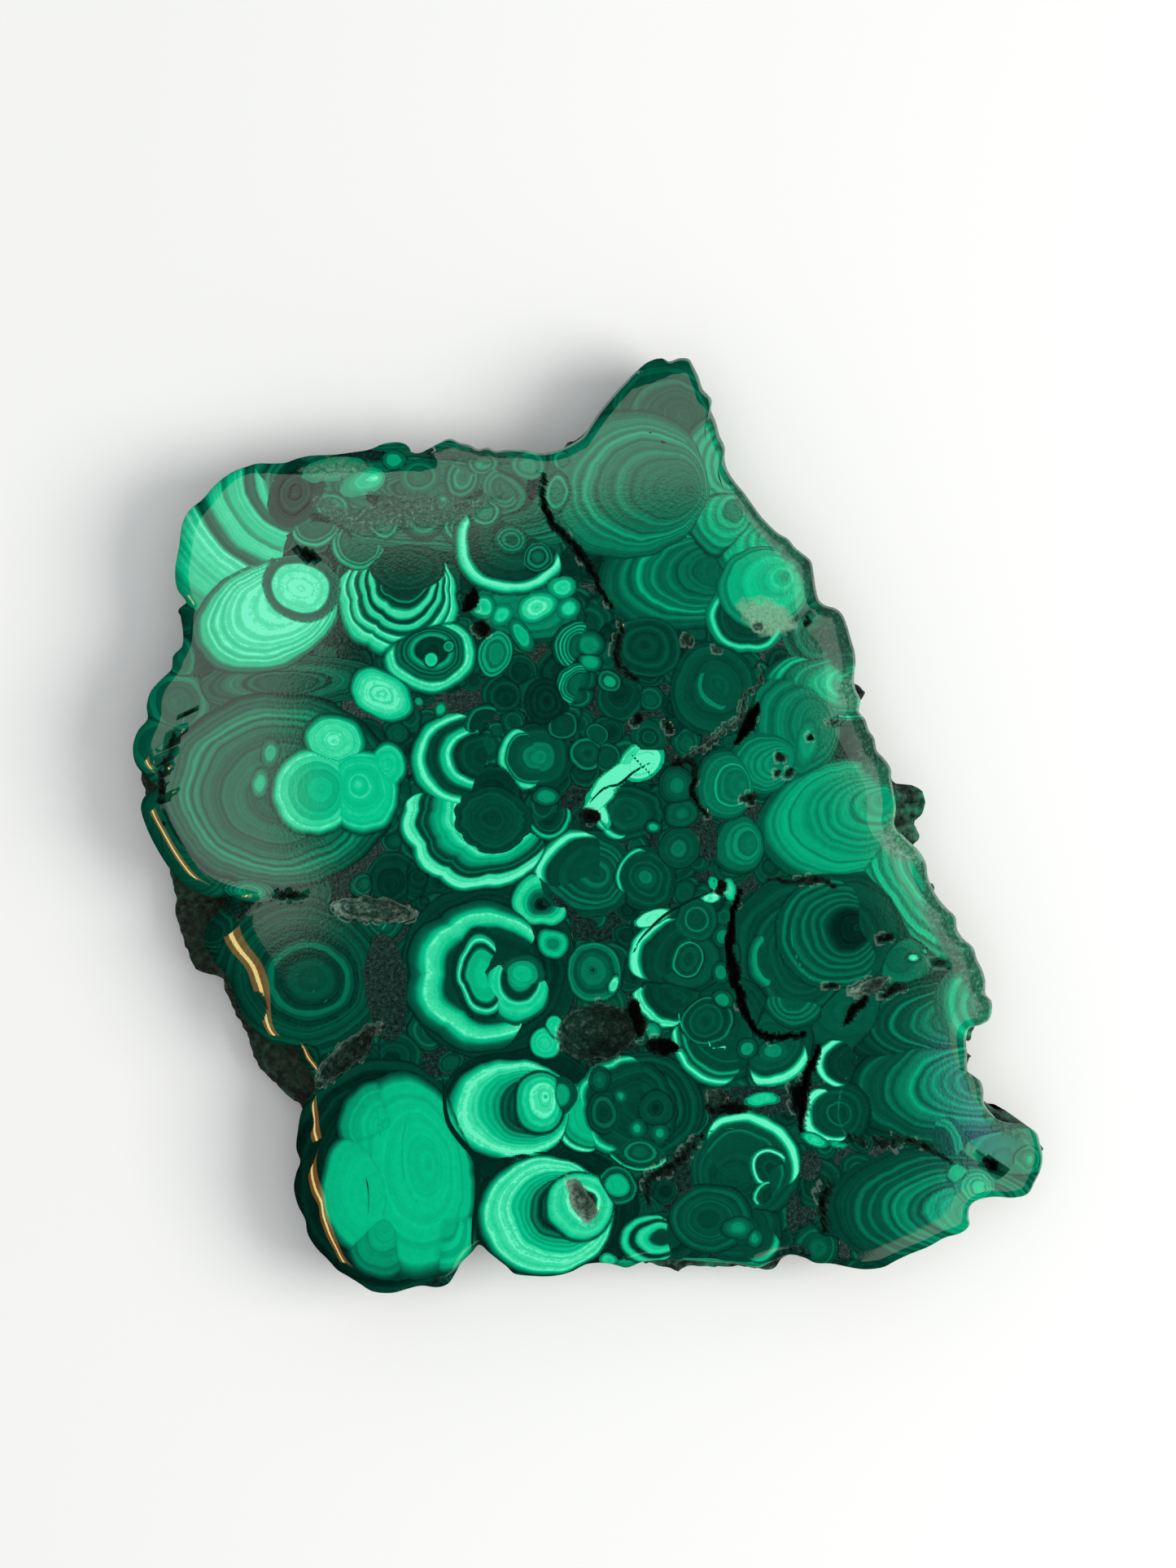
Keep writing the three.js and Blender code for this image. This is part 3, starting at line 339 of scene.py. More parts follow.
FIELDS = {
    "eye body": growth((-39.2, 25.6), (9.6, 6.6), "9 55 8.6 60 9 64 8.4 68 9 71 8.2 75 9 79 7.6 83 8.8 86 7 "
        "89 7.6 93 4", turn=24, eye=(-35.6, 28.6), grain=(0.6, 0.12)),
    "green arcs": growth((16.4, 37.6), (4.2, 5), "4.6 30 6.8 40 5.4 50 7 60 5.4 68 6.6 76 4 84 4.8 92 3",
        eye=(18.4, 38.4), grain=(0.5, 0.12)),
    "right pale arcs": growth((16.2, 44), (4.6, 6.6), "5 40 6.6 46 4.6 52 7 60 4.6 66 6.4 76 4.4 82 5.6 90 "
        "3.6", eye=(19, 44), grain=(0.5, 0.12)),
    "bright arcs": growth((21.4, 33.6), (5.6, 4.6), "6 34 7 42 6 50 7.4 56 5.6 63 7.4 72 6 80 6.8 90 4",
        eye=(25.4, 35.4), seam=0.8, grain=(0.5, 0.16)),
    "mottled cup": growth((19.6, 25.4), (5.2, 4.4), "2 60 3 66 2 78 8.8 90 5", seam=0.8),
    "bright pool": growth((-7.6, 26.2), (7.6, 3.9), "5 60 4 86 2", turn=-8, seam=0.8),
    "left ringed": growth((-38, 4), (14.4, 12), "3 30 3.6 50 2.8 60 3.8 64 3 69 4.8 73 3.2 77 5.8 80 3.4 82 "
        "5.2 84 3.2 87 2.8 93 3.6 96 1.2", eye=(-37.6, 3.4), grain=(0.45, 0.13)),
    "top arcs": growth((4.8, 41.6), (10.6, 9.2), "3.6 26 4 30 3.6 36 4.2 39 3.6 45 4.8 50 3.8 56 4.2 58 3.6 "
        "64 5 68 5.6 72 4.2 76 5.4 79 4 84 5 87 3.8 93 2.8", eye=(12.8, 41), turn=6, seam=0.8,
        grain=(0.5, 0.14)),
    "round behind": growth((-6, 8.2), (4.2, 4.3), "5 20 4.2 46 2.6 76 2"),
    "ball behind": growth((7.2, -6.8), (3.7, 4), "4.4 20 3 34 2.2 44 3 52 2 70 2.6 78 2"),
    "edge cell": growth((18.6, -2.8), (3.3, 3.7), "4 40 5.4 52 3.6 60 5 70 3.6 90 2.2", eye=(20.4, -2.4)),
    "ringed right": growth((15.4, 16.4), (5.4, 5.9), "2.8 44 2.6 54 2.2 70 2.8 76 2.2 84 3 90 2",
        eye=(16.2, 17), seam=0.8),
    "rim body": growth((12.6, -16.8), (6.2, 5.4), "2.4 40 2.8 60 2 90 2.4"),
    "rim body lower": growth((11, -21.2), (4.4, 3.6), "2.2 60 1.8"),
    "cluster body": growth((16.6, -25), (6.4, 6.8), "2.2 50 2.8 56 2.2 80 2"),
    "cluster body right": growth((22.4, -26.8), (5.2, 5), "2.6 50 3 66 2"),
    "scalloped cluster": growth((5.2, -35.4), (5.8, 6.2), "1.8 50 2.6 62 1.8 80 2.8 90 2", scallops=9,
        depth=0.05),
    "lower rim body": growth((30.8, -35.5), (4.2, 3.9), "2 30 4 36 2 60 2.6 70 1.8", eye=(31.2, -35.6)),
    "three body": growth((19.3, -42.3), (6.9, 6.9), "2 50 2.6 70 3.4 73 2.2 84 2.8 92 2", eye=(17.5, -44)),
    "three foot body": growth((18.6, -49.8), (5.4, 4.2), "2 70 2.6 80 2"),
    "bottom ring body": growth((9.6, -50.8), (3.8, 3.2), "2 50 1.4 80 2"),
    "grey matrix one": growth((27.4, -42.2), (1.4, 1.9), "m"),
    "grey matrix two": growth((25.4, -47.6), (0.8, 2.6), "m"),
    "grey matrix three": growth((25.4, -52.8), (2, 1.1), "m"),
    "grey matrix four": growth((-2.6, -10.4), (4, 0.8), "m", turn=-42),
    "grey matrix five": growth((-0.2, -13), (1.6, 1.5), "m"),
    "grey matrix six": growth((14.2, -1.6), (1.6, 3), "m", turn=20),
    "speckled column": growth((-24.8, -20), (2.6, 6.6), "m", turn=6),
    "shaded round body": growth((5, 1.3), (4.3, 3.5), "2.4 40 2.9 60 2 84 2.8 92 2", scallops=7),
    "shaded left body": growth((-0.4, -6.2), (6.2, 5.5), "2.6 20 4 34 2.2 46 4 52 2.2 60 4.4 66 2.4 72 3.6 "
        "80 2 90 2.6", eye=(1.6, -6.4), grain=(0.45, 0.13)),
    "mud cup one": growth((-20.4, 37.4), (2.8, 2.6), "3.4 40 5 50 3 62 5.2 74 3 88 2", eye=(-20, 38.4),
        seam=0.7),
    "mud cup two": growth((-15.6, 36.2), (2.6, 2.2), "3 40 5 54 2.8 66 5.4 78 3", eye=(-15.4, 37.2),
        seam=0.7),
    "mud cup three": growth((-31.4, 39), (2.4, 1.8), "5 50 3.6 66 5.6 80 3", seam=0.7),
    "mud cup four": growth((-2.6, 44.4), (2.4, 2.2), "4 40 5.6 56 3.4 70 4.6 84 2.6", seam=0.7),
    "mud cup five": growth((-12.8, 44.2), (2.2, 1.6), "5 50 3.4 66 5 82 3", seam=0.7),
    "mud streak one": growth((-23, 38.8), (4.4, 1), "m", turn=-16, seam=1),
    "mud streak two": growth((-13.6, 39.8), (3.4, 0.9), "m", turn=22, seam=1),
    "mud streak three": growth((-31.6, 36.4), (3, 1.2), "m", turn=-30, seam=1),
    "mud streak four": growth((-6.4, 42.4), (0.9, 2.8), "m", turn=-10, seam=1),
    "mud streak five": growth((-27.6, 45), (4, 0.8), "m", turn=6, seam=1),
    "corner mud": growth((-35.8, 40.6), (3.4, 4.4), "1 80 1.6", turn=-30, grain=(0.5, 0.3), seam=1),
    "recess grey": growth((20.8, -34), (5, 1.9), "m", seam=1),
}

NODULES = {
    "dark cup": growth((-23.4, 27.8), (7.6, 7.6), "1.6 36 2.2 38 6.5 40 1.6 42 2 46 8.4 50 8.6 55 2 58 2.2 "
        "60 8.8 63 8.2 68 2.4 71 3 74 9 77 8.4 82 3 85 9 87 8.6 96 4", eye=(-22.2, 31.8), scallops=9,
        depth=0.06, fan=(176, 372)),
    "dark round": growth((-9.4, 34.8), (7.3, 6.9), "1.8 40 2.4 60 1.6 80 9.4 86 8.8 94 4", eye=(-8.4, 36),
        fan=(150, 335)),
    "triangle ring": growth((-19.6, 20.8), (6, 4.8), "1.5 36 6.6 44 4.6 50 2.2 54 5 58 2 62 3.8 68 2.6 74 9 "
        "82 8.4 92 4", eye=(-19, 21.4)),
    "crescent pair": growth((-13.4, 8), (8.7, 6.6), "1.8 30 2.4 34 1.6 46 9 54 7.6 62 3 66 2 80 7 83 8.8 90 "
        "7.4 96 3", eye=(-12.4, 8.6), fan=(112, 262)),
    "bright cup": growth((-13.2, 0.2), (9.9, 8.6), "1.4 43 9.4 46 8 50 8.9 54 8 58 6.8 64 5.6 69 2 72 1.6 74 "
        "4.6 76.5 1.6 80 2 82 8.2 84 9.2 90 9 97 4", eye=(-11, 1.6), scallops=11, depth=0.05, fan=(164, 326),
        grain=(0.5, 0.12)),
    "double left": growth((-33.7, 3.8), (5.4, 5.4), "7.6 30 7 50 7.8 56 7.4 66 8.2 72 8 80 9 88 8-2",
        eye=(-32.6, 4.2), seam=0.95),
    "double right": growth((-27.8, 4), (4.8, 5.4), "8 25 8.4 30 7.6 55 8.3 62 7.8 80 8.2 86 7-2",
        eye=(-28, 4.6), seam=0.95),
    "double third": growth((-24.6, 7), (2.4, 3), "8 80 6-2", seam=0.95),
    "pale ball": growth((-31.1, 10.2), (4, 3.2), "8.8 60 8.4 80 7-2", turn=-14, seam=0.8),
    "slanted blob": growth((-25.3, 15.8), (4.4, 3), "9 40 8.8 66 8 86 6-2", turn=-34, seam=0.8),
    "lit left round": growth((-6.9, 8), (4.4, 4.1), "5 20 4.4 40 3 60 2.2 74 6.4 77 2.4 80 8.2 84 8.8 91 7-3",
        eye=(-6, 8.2), fan=(112, 268)),
    "shaded round": growth((5, 1.3), (4.4, 3.6), "2.4 40 2.9 60 2 78 8.6 92 5", scallops=7, fan=(128, 268)),
    "lower eye": growth((-34.4, -19.2), (6.2, 5.6), "2.4 30 2.8 44 1.8 56 1.4 70 4.2 82 2.6 90 1.6",
        eye=(-33.6, -19), seam=0.8),
    "pale lower left": growth((-21.7, -43.2), (7.9, 12.9), "7.3 30 7.5 52 7.2 55 7.5 70 7 76 7.3 88 6-2",
        eye=(-19.4, -41.6), turn=9, seam=0.9, grain=(0.8, 0.05)),
    "pale left lobe": growth((-27.8, -45.2), (5.3, 7.6), "7.4 60 7.2 90 5.4-1.6", eye=(-26, -45), seam=0.95,
        grain=(0.8, 0.05)),
    "pale bottom lobe": growth((-25.3, -51.6), (4.2, 4.6), "6.4 50 5.6 76 5 90 3.6-1.4", eye=(-24.6, -49),
        seam=0.95, grain=(0.6, 0.1)),
    "pale right lobe": growth((-17.8, -50.2), (4.2, 5.4), "7.2 42 6.6 50 7.4 62 6.4 74 7.8 82 6.4 91 4-1.4",
        eye=(-18, -48), seam=0.9, grain=(0.6, 0.1)),
    "pale crescent": growth((-9.6, -35.2), (7.9, 6.4), "8 36 3 43 1.5 47 4 50 2.2 53 6.2 57 5 59 7.2 63 6.4 "
        "66 7.8 69 7 72 8.6 78 8.9 91 8-2", eye=(-3.6, -34.2), grain=(0.5, 0.1)),
    "figure nodule": growth((-12.6, -18.8), (9.9, 9.3), "1.6 58 1.8 66 6.6 69 8.6 74 8.8 84 7.4 89 3.6-2",
        eye=(-9.6, -18.6), scallops=7, depth=0.06, fan=(55, 285), grain=(1.2, 0.06)),
    "vug nodule": growth((-5.2, -48.2), (8.4, 7.6), "8.5 27 8.3 38 1.4 46 4.8 49 2.6 51 6.6 54 5.6 56 7.4 58 "
        "6.2 61 8 64 7.2 67 8.7 74 8.8 91 8-2", eye=(-0.5, -46.3), grain=(0.5, 0.1)),
    "cup below": growth((-5.7, -9.4), (3.7, 3.4), "0.3 18 0.8 26 3.4 40 5 50 7.4 62 8.4 80 7.4 92 3",
        eye=(-5.7, -10.2), fan=(88, 360)),
    "ring below": growth((-4.2, -14.8), (2.1, 1.9), "5 40 6.2 54 7.6 80 6-3", seam=0.7),
    "egg below": growth((0.8, -18.4), (3.4, 3.7), "1 8 3.6 16 4.2 44 3.4 60 2.4 74 4 86 5.2 94 3",
        eye=(0.5, -17.9)),
    "rim group upper": growth((12.2, -16.6), (7.2, 6), "2 60 2.6 64 1.8 82 9.4 90 9 97 5", eye=(13.6, -16.4),
        fan=(116, 208)),
    "rim group lower": growth((10.4, -21.2), (5, 3.9), "1.8 76 8.8 88 9.2 94 5", eye=(11.2, -20.6),
        fan=(170, 278)),
    "rim cluster": growth((16.8, -25.4), (6.7, 7.2), "2.2 55 2 58 3.8 60 2.2 76 6.4 79 2.4 86 9 95 5",
        eye=(17.4, -24.4), fan=(172, 282)),
    "rim right": growth((22.2, -26.6), (5.6, 5.8), "2.6 50 3 66 2 78 9.2 94 6", eye=(22.4, -26),
        fan=(238, 345)),
    "bright left rim": growth((32.6, -29.3), (4.8, 3.6), "1.6 70 2 80 8 84 9.2 95 5", eye=(33.4, -29.2),
        fan=(125, 245)),
    "bright lower rim": growth((30.4, -35.7), (4.4, 3.9), "2 30 4.5 34 2 60 2.2 72 9.4 94 6",
        eye=(31.2, -35.8), fan=(118, 285)),
    "side bright arc": growth((0.7, -35.8), (4.8, 4.8), "7 66 6 80 3 85 9 96 5", fan=(110, 285)),
    "dark scalloped": growth((6.3, -34.8), (8, 6.8), "2 60 3 64 2 84 8.4 94 4", scallops=9, depth=0.05,
        fan=(86, 262)),
    "scalloped foot": growth((6.6, -39.6), (4.1, 3), "3 75 2.2 88 8.6 96 3", fan=(172, 350)),
    "three outer": growth((19.3, -42.3), (6.9, 7), "2.4 60 2.6 70 4.6 72 2.4 80 3 84 9.3 97 5",
        eye=(17.5, -44), fan=(-8, 128)),
    "three side": growth((15, -48.5), (5.2, 4.2), "2 30 3 40 2.2 50 4 54 2.4 80 3.4 90 2.2"),
    "three foot": growth((19.2, -50), (4.9, 4.4), "2 70 2.4 86 7.5 96 4", eye=(17.6, -48.8), fan=(288, 350)),
    "bottom ring": growth((8, -51.2), (4.2, 3.2), "2 32 8 56 7.2 60 1.6 76 8 93 4", eye=(9.4, -51),
        fan=(80, 290)),
    "mottled pale": growth((21.6, 28.8), (5.9, 5), "7 40 7.4 60 6.8 86 4.6", eye=(24.6, 30.4),
        grain=(0.9, 0.26), seam=0.8),
    "left ball one": growth((-40.3, 5.2), (1.1, 1.9), "7.4 60 6-3", seam=0.9),
    "left ball two": growth((-39.2, 8.6), (1.2, 1.8), "6.4 50 5-3", seam=0.9),
    "cup top": growth((-11.8, 4), (3.8, 3.4), "1.2 60 1.6 90 1.2", seam=0.8),
    "cup neighbour": growth((-4.8, 1), (2.9, 3), "1.6 60 3.4 66 2 78 7.6 90 4", fan=(200, 385)),
    "line ball": growth((7.2, -6.8), (3.8, 4.1), "4.4 20 3 34 2.2 44 3 52 2 70 2.4 84 9 92 4", fan=(82, 215)),
    "left bright blob": growth((-0.4, -6.2), (6.4, 5.7), "2.4 60 2 80 8.8 94 5", eye=(1.6, -6.4),
        fan=(92, 192)),
    "arc cell": growth((16.8, 4.6), (3.7, 4.5), "4 40 4.6 46 3.8 54 7.2 58 3.8 62 4.2 76 4.8 80 3.6 92 2.4",
        eye=(19.4, 4.6), seam=0.8),
    "upright arcs": growth((21.4, 7.4), (4.2, 3.8), "4.8 30 5.4 36 4.4 42 5.6 50 4.6 56 5.6 62 4.4 68 5 74 4 "
        "84 6 88 3.6", eye=(24.6, 7.6), seam=0.85),
    "big eye": growth((30.2, -13.4), (7, 7), "0.8 34 1.4 42 3.8 47 2.6 53 3.8 58 2.6 64 4.2 69 2.6 76 4 82 "
        "2.6 89 4.2 93 2.6", eye=(33.2, -12.6), fan=(92, 300), seam=0.8, grain=(0.5, 0.1)),
    "left crescent": growth((22.6, -16.8), (2.9, 3.8), "2.4 50 2.8 60 5.6 80 4-2.4", fan=(108, 262),
        seam=0.9),
    "lower lobe": growth((25.4, -21.4), (3.9, 3.7), "3 40 4.6 50 2.6 58 4.6 68 2.6 76 4.2 86 2.2",
        fan=(175, 345), seam=0.7),
    "pale upper lobe": growth((-26.6, -36.4), (4, 5.2), "7.2 50 6.6 74 5.8 90 4-1.4", eye=(-24.6, -37),
        turn=-24, seam=0.95, grain=(0.6, 0.08)),
    "ringed right arc": growth((16.4, 17), (3.4, 3.4), "2.8 74 5 88 3", fan=(140, 280), seam=1),
}

UPPER = {
    "eye": growth((-35.2, 29), (5, 4), "9 50 8.8 74 3.6 80 3.2 96 5", turn=-20, seam=0.8),
    "grey cup": growth((-33.4, 37), (3.6, 3.2), "3.2 60 2.8 66 5.4 72 3 80 6.8 90 4", fan=(190, 350)),
    "grey ball": growth((-28.2, 34.4), (3.4, 3.4), "3.4 60 2.8 68 5.6 74 3.4 82 6.8 92 4", fan=(140, 360)),
    "yellow facet": growth((-31.2, 43.4), (4, 1.5), "6.4-5", turn=8, seam=0.8),
    "bright facet": growth((-27.6, 41.8), (3, 1.7), "9 30 7.4 60 6", turn=22, eye=(-26, 42.4), seam=0.8),
    "arc ball one": growth((-9.4, 34.8), (2, 1.7), "3 40 5 54 3 66 5.4 80 3 92 2"),
    "arc ball two": growth((-6, 32.8), (1.9, 1.8), "3.4 40 2 54 5 70 2.4 84 5 92 2"),
    "bean": growth((-6.1, 26.6), (2.6, 1.8), "8.6 70 7.4-4", turn=28, seam=0.9),
    "drop one": growth((-3.2, 29), (1.8, 1.5), "8.4 60 6.6-4", seam=0.9),
    "drop two": growth((-2.4, 26.4), (1.6, 1.3), "8 60 6-4", seam=0.9),
    "drop three": growth((-13, 26.6), (1.8, 1.5), "7.8 60 6-4", seam=0.9),
    "drop four": growth((-10.6, 25.6), (1.8, 1.3), "7.8 60 6-4", turn=20, seam=0.9),
    "drop five": growth((-8, 23.2), (2.4, 1.2), "7 60 5-3", turn=-56, seam=0.9),
    "egg": growth((-11.3, 20.9), (2.2, 2.9), "5 45 4 60 6 75 4 84 7 95 4", turn=-20),
    "tiny ring": growth((-17.1, 21.6), 0.8, "5 60 7 90 3"),
    "tiny ball": growth((-19.4, 20), 1, "8 80 4"),
    "drop six": growth((-20.7, 15), 0.6, "6"),
    "drop seven": growth((-18, 14.3), (0.8, 1), "7 60 4"),
    "upper crescent": growth((-12.4, 12), (3, 2.9), "1.6 76 4.8 86 2.4", fan=(55, 205)),
    "ring one": growth((-3, 12), 1.9, "2 60 1.8 78 4.5 90 2"),
    "dark one": growth((-5, 15), 2.8, "1.2"),
    "white arcs": growth((-1, 17), (2.9, 2.8), "3.4 44 2.4 50 5.6 56 2.6 62 6.4 68 2.4 74 7.4 82 2.2 88 5 93 "
        "2", fan=(70, 250)),
    "white arcs upper": growth((-0.6, 21.6), (3.9, 3.5), "3 50 6 55 2.5 60 7 66 2.4 72 7.6 77 2.2 84 7 89 2",
        fan=(75, 235)),
    "pair left": growth((-0.2, 8.5), 2.1, "2.4 80 5 92 3"),
    "pair right": growth((2.3, 8.3), 1.8, "2.4 80 4 92 3"),
    "ring two": growth((1.2, 11), 1.3, "2.4 80 5 92 3"),
    "ring three": growth((7.5, 10.5), 2.2, "2 30 3.5 36 2 60 3.5 66 2 90 3"),
    "wedge upper": growth((3.2, 5.6), (4.4, 1.3), "9.4 80 7", turn=40, seam=1),
    "wedge lower": growth((1.4, 3), (3, 1.1), "9.4 80 7", turn=44, seam=1),
    "green cell one": growth((10.9, 4.6), (2.2, 2.6), "4.2 40 3 80 2"),
    "green cell two": growth((11.5, 1.2), (2.2, 1.9), "3.8 40 3 80 2"),
    "green cell three": growth((11.3, -3), 2.6, "4 40 3 70 2 90 3"),
    "dark ring": growth((7.3, 21.7), (4.2, 3.8), "2 60 2.5 70 1.8 90 3"),
    "mottled right": growth((26.9, 9.6), (1.5, 3.2), "5.6 40 5.2-4.4", turn=-8, grain=(0.9, 0.12), seam=1),
    "figure bowl": growth((-8.6, -20.2), (4.1, 4.6), "6.8 30 5.8 38 1.6 46 1.6 57 8.8 63 8 84 7.4 92 3",
        eye=(-8, -18.2), fan=(165, 342), seam=0.9, grain=(0.8, 0.05)),
    "blob": growth((-5.2, -27.2), 2, "8 84 6-2"),
    "blob tail": growth((-4.2, -25.4), (1.2, 1.9), "8 84 6-2"),
    "crescent ball": growth((-3.3, -33.4), 2.2, "6.2 50 5.4 62 2.2 88 3"),
    "vug lobe": growth((-1.1, -46.9), (4.3, 4.4), "m 34 9.5 50 8.3 94 4", eye=(0, -46)),
    "vug ball": growth((0.6, -45.8), (1.4, 2.1), "2.5 80 2"),
    "vug side ball": growth((3.7, -44.6), 2.6, "7 52 6 62 2.6 84 4.8 93 2.4"),
    "cell one": growth((13.5, -12), 2.6, "2.4 50 4.4 60 2.4 80 3"),
    "cell two": growth((12.4, -16.7), 2.1, "2 30 3 60 2.2 84 6 95 3"),
    "cell four": growth((16.4, -22), 1.4, "5.5 60 3"),
    "cell six": growth((19.5, -27.6), 1.3, "5.5 60 3"),
    "cell seven": growth((22.6, -28), (1.8, 1.3), "5 60 3"),
    "inner rim": growth((14.6, -24.3), (3.3, 3), "2.4 60 3.4 66 2.2 88 5 95 2"),
    "scallop one": growth((8.5, -35), 2.2, "1.2 50 3 74 2.2"),
    "scallop two": growth((2, -35.6), (2, 2.6), "1.8 50 3.4 70 2"),
    "scallop three": growth((4.2, -33.6), 1, "6 40 4-2", seam=1),
    "scallop four": growth((1.6, -31.6), (1.2, 1.8), "3.4 60 2.2"),
    "scallop five": growth((6.2, -37.6), 1.3, "6.4 40 4-2", seam=1),
    "scallop six": growth((8.9, -38), 1.2, "6 40 4-2", seam=1),
    "scallop seven": growth((6.6, -40.4), (2.6, 1.6), "3.4 40 2.6 60 4.6 76 2.4 90 3"),
    "recess oval": growth((21.4, -34), (2.5, 0.95), "7.8 80 5", turn=5, seam=0.8),
    "three upper": growth((22.4, -42.6), (2.6, 2.7), "1.6 30 3 36 2 74 9 86 6-3", fan=(30, 250)),
    "three lower": growth((22.6, -46), (2.6, 2.2), "1.6 50 2 76 8.6 88 5-3", fan=(100, 220)),
    "soft ball one": growth((18.5, -49.8), (1.9, 1.4), "5.5 50 4-3"),
    "soft ball two": growth((20.5, -51), 1, "5.5 50 4-3"),
    "spur ring": growth((47.6, -44.6), (2.6, 2.2), "7.6 35 5.5 45 7.2 55 5.5 65 7.2 75 5 90 6",
        eye=(48.4, -44.8), seam=0.8),
    "spur drop": growth((45.5, -43), 1.4, "7 80 5"),
    "spur ball": growth((54, -41.2), (1.9, 1.7), "6.4 40 5.2 60 4.6 80 5.4", seam=1),
    "side pale": growth((49.4, -22.2), (6.8, 5.8), "5 40 6.4 50 5 58 7 66 5.2 74 7.2 82 5 90 4",
        eye=(52, -22.2), seam=0.8),
    "small crescent": growth((40.2, -16.7), (0.9, 0.5), "8.5 70 6"),
    "white spot": growth((41.5, -15.7), 0.35, "10"),
    "muddy cup one": growth((-25, 37.6), (2, 2.6), "5 60 3 74 6.6 88 4", fan=(180, 380)),
    "muddy cup two": growth((-20.6, 42.6), (2.6, 2), "3.6 50 3 62 4.6 76 3.6 90 3", turn=20, seam=1),
    "muddy cup three": growth((-15.4, 42.4), (2.3, 2.6), "3.6 40 5.4 56 3 70 4.6 84 2.6", fan=(120, 380),
        seam=0.8),
    "muddy cup four": growth((-10.4, 41.2), (2.5, 2.6), "3.4 40 3 52 4.6 66 3.2 78 4.4 90 3", fan=(100, 330),
        seam=1),
    "muddy cup five": growth((-12.6, 38.2), (2.2, 2), "4.4 50 3 64 5.8 80 3"),
    "muddy ball": growth((-7.4, 44), (2.2, 1.8), "5 50 3.8 70 4.6 88 3.4", seam=1),
    "muddy ball two": growth((-23.6, 44.6), (1.6, 1.3), "6.4 60 4 86 3"),
    "muddy ball three": growth((-17.6, 39.4), (1.5, 1.2), "6 60 3.6 86 3", turn=-30),
    "muddy ball four": growth((-3.8, 40.6), (1.6, 2.6), "4 60 5.6 76 3", turn=-10),
    "green ball one": growth((0.3, 22.1), (1.9, 1.7), "5 60 4-2.4"),
    "green ball two": growth((0.3, 19.9), (1.6, 1.5), "6 60 5-2.4"),
    "green ball three": growth((2.7, 17.6), (1.6, 1.5), "6 50 3 70 4.6 88 2"),
    "cup core": growth((-11.7, 0.5), (4.8, 3.9), "2 60 2.8 80 1.8", scallops=9, seam=0.8),
    "neighbour ball": growth((-5.2, 3.3), (1.8, 1.2), "5.4 60 4-2"),
    "ball eight": growth((8.1, -0.3), (0.95, 0.85), "6.8 50 4-2"),
    "figure ball": growth((-8, -18.5), (2.7, 2.5), "7.2 40 6.2 66 3 90 2", seam=0.9),
    "egg patch": growth((3.2, -19.6), (0.7, 1.3), "8.6 70 6-4", turn=-15, seam=0.9),
    "bright cap": growth((7.9, -11.5), (2.5, 1), "9.4 86 6", turn=20, seam=0.8),
    "inner bright ball": growth((-5.9, -34.3), (3.3, 3.9), "7.4 10 9 34 8.8 56 8 78 6.4 92 2",
        eye=(-5.2, -33.6), seam=0.7),
    "layered wedge": growth((27.9, -39), (2, 0.9), "8.4 70 6-4", turn=-24, seam=0.8),
    "wedge tip": growth((30.8, -39.5), (1.4, 0.5), "7 70 5", turn=-10, seam=0.8),
    "joint one": growth((15, -9.3), (1.3, 0.7), "9 80 6", turn=15, seam=0.8),
    "joint two": growth((17.4, -8.2), (0.9, 1.4), "8.4 80 6", turn=20, seam=0.8),
    "joint three": growth((15.5, -7.4), (0.7, 0.9), "7 80 5", seam=0.8),
    "soft drop one": growth((16.7, -14), (1.1, 1.4), "5 60 3-2", seam=0.9),
    "soft drop two": growth((16.6, -18.4), (1.1, 1.4), "5 60 3-2", seam=0.9),
    "pale foot": growth((2.5, -53.6), (1.2, 1), "8 70 6", seam=0.8),
    "dark blob": growth((-34.5, -28.6), (1.6, 1.5), "1 70 1.6"),
    "fibrous patch": growth((-41.5, -8.3), (3.4, 1.3), "5 50 4.4 80 3", turn=-6, seam=0.8, grain=(0.3, 0.3)),
    "wedge head": growth((6.8, 7.4), (2.7, 2.1), "9.4 80 7", turn=30, seam=1),
    "wedge side": growth((5.2, 8), (2.4, 1.1), "8.6 70 7-5", turn=55, seam=1),
    "wedge foot": growth((1.8, 1.2), (0.7, 2.1), "9 70 7", turn=24, seam=1),
    "dark cup core": growth((-22.2, 31.4), (4.6, 3), "1.8 50 2.6 64 1.6 80 2.4 92 1.6", seam=0.8),
    "hollow ball": growth((8, -25.4), (1.3, 1.2), "6.4 50 5 80 3", seam=0.9),
    "figure body": growth((-13, -18.5), (5.5, 4.3), "7.6 30 7 56 4 61 1.5 66 1.6 71 7.2 75 9 80 6.8 87 1.8 "
        "92 1.6", turn=95, eye=(-12.6, -18.4), scallops=2, depth=0.22, fan=(62, 318), seam=0.9,
        grain=(0.8, 0.05)),
    "spur arcs": growth((42.4, -40.2), (4.4, 4.6), "2.4 58 3 64 5.8 72 4.4 78 6 88 3", fan=(-8, 84),
        seam=0.9),
}

LAYERS = (GROUND, FIELDS, NODULES, UPPER)

# What the small growths between the drawn ones look like.
FILLER_BANDS = [
    "2 45 3.2 55 2 70 2.8 80 1.6 92 2.6", "1.4 50 2.2 60 1.6 80 3 88 1.8", "3 40 2.2 60 3.6 72 2.2 90 1.2",
    "2.6 60 1.8 80 3.6 90 2", "1.2 55 1.8 75 1.2 88 2.4",
]

